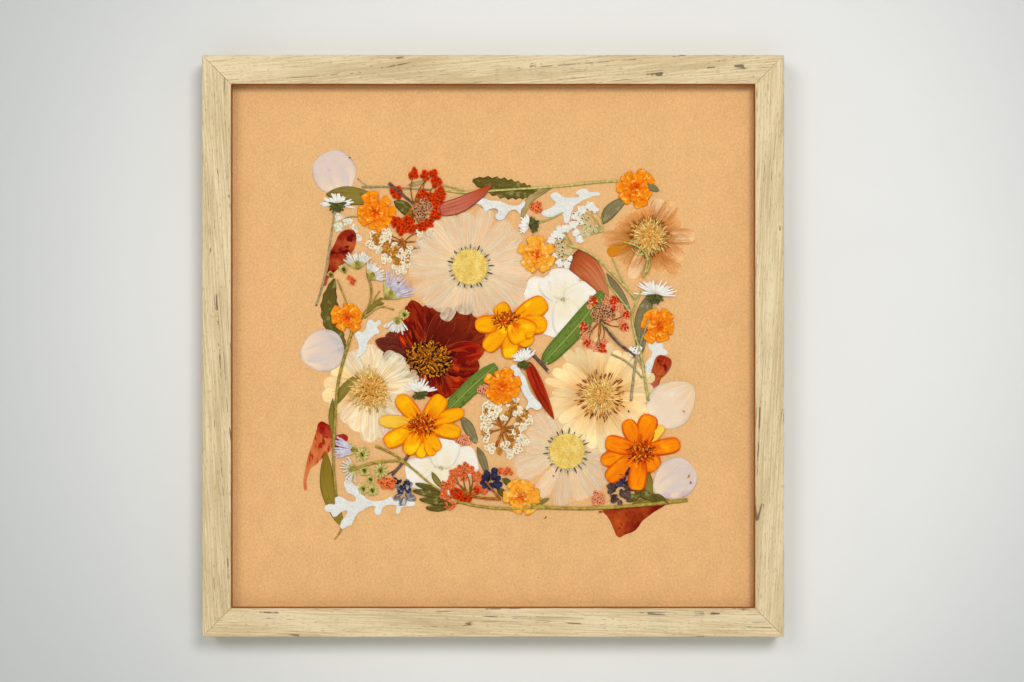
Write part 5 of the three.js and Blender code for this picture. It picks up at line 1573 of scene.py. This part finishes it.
# ---- small red heads ----------------------------------------------------------------
# Broken-off bits of the red umbels, tucked between the big flowers: each a small clump
# of cups with dark middles.
RED_HEADS = (
    # middle, half width, half height, cups, level, finish
    ((-59.6, -77.4), 4.6, 3.2, 22, 3.6, cup_coral), ((24.2, 78), 2.6, 3.2, 12, 3.0, cup_coral),
    ((-79.6, 37), 2.0, 2.0, 6, 2.6, cup_coral), ((59.4, -86), 3.4, 3.6, 16, 3.2, cup_rimmed),
    ((-5.6, -25), 2.2, 2.8, 10, 4.4, cup_rimmed), ((-17, -53.4), 4.0, 3.0, 14, 1.4, cup_rimmed),
    ((6.4, -71), 4.0, 1.8, 12, 2.6, cup_coral),
)
for number, (middle, wide, tall, cups, level, look) in enumerate(RED_HEADS, 1):
    clumps = [(*place.translation.xy, 1.0, 2)
              for _, place in sown(middle, wide, cups // 2, 0, 0, number, squash=tall / wide)]
    umbel(f"red_head_{number}", "petal_crimson", level, middle, brown_twig, 0.5,
          (clumps, red_flower, look, 0.12, 0.8), (clumps[::2], floret, middle_dark, 0.26, 0.9))


# ---- dark heads ---------------------------------------------------------------------
# Three small dark flowers near the lower edge: a navy one, a blue-black and mauve one,
# and a slate blue one with white lines.
navy = tissue(
    "navy petal", (60, 58, 88), Base=(26, 22, 38), Tip=(80, 82, 116), Rim=(38, 38, 62),
    Vein=(24, 20, 36), Veins=5.0, Vein_Share=0.6, Spread=0.6)
blue_black = tissue(
    "blue-black petal", (112, 84, 76), Base=(50, 34, 34), Tip=(164, 128, 114), Rim=(50, 40, 48),
    Vein=(34, 26, 30), Veins=5.0, Vein_Share=0.6, Spread=0.7)
slate = tissue(
    "slate petal", (114, 104, 108), Base=(58, 52, 60), Tip=(148, 138, 142), Rim=(72, 66, 76),
    Vein=(214, 204, 196), Veins=7.0, Vein_Share=0.7, Spread=0.5)
DARK_HEADS = (
    # name, middle, half width, half height, petals, finish, level
    ("dark_head_navy", (-1.1, -75.6), 2.6, 3.8, 22, navy, 3.0),
    ("dark_head_black", (71, -80.6), 4.6, 6.4, 24, blue_black, 2.6),
    ("dark_head_black_top", (74.4, -73), 2.6, 3.4, 12, navy, 2.8),
    ("dark_head_slate", (-50, -83), 3.6, 5.4, 18, slate, 2.2),
    ("dark_head_slate_tip", (-51.6, -77.6), 2.6, 1.6, 8, navy, 2.5),
)
dark_petals = [petal(3.6, 2.4, belly=0.6, base=0.4, rows=4, columns=3, thickness=0.08, ripple=0.14,
                     seed=s) for s in (61, 62)]
for seed, (name, middle, wide, tall, count, look, level) in enumerate(DARK_HEADS):
    places = sown(middle, wide, count, 0.1, 0.3, seed, 2, squash=tall / wide, size=1.0, jitter=0.5)
    lay(strewn(name, dark_petals, ruffled(places, seed), look), "petal_crimson", level=level)


# ---- crumbs -------------------------------------------------------------------------
# Bits that fell off the flowers in pressing and lie loose on the paper and the petals.
CRUMBS = (
    ((29, -97.2), 1.0, chaff_black), ((76.4, -37.6), 0.9, chaff_black), ((98.6, -88.6), 1.3, umber),
    ((61.6, -93.2), 1.4, tuft_red), ((110.8, -72.4), 1.3, chaff_gold), ((111.2, -76.2), 0.9, chaff_black),
    ((106.8, -36.4), 0.8, umber), ((-81.4, 106), 0.8, middle_dark), ((29.6, -10.6), 1.2, bract_pale),
    ((31.4, -15.6), 1.4, bract_pale), ((34.6, -73.4), 0.8, umber), ((-52.4, 36.2), 1.1, umber),
)
for number, ((x, y), size, look) in enumerate(CRUMBS, 1):
    place = spot(x, y, direction=number * 47, wide=size, long=size * 0.7)
    lay(strewn(f"crumb_{number}", chaff, [(number % 2, place)], look), "petal_brick", level=5.4)
bin_all(lace_flower, cream_flower, red_flower, *rays, *scales, *fine_hairs, *dark_petals, *sepals,
        floret, *slivers, *quills, *chaff)
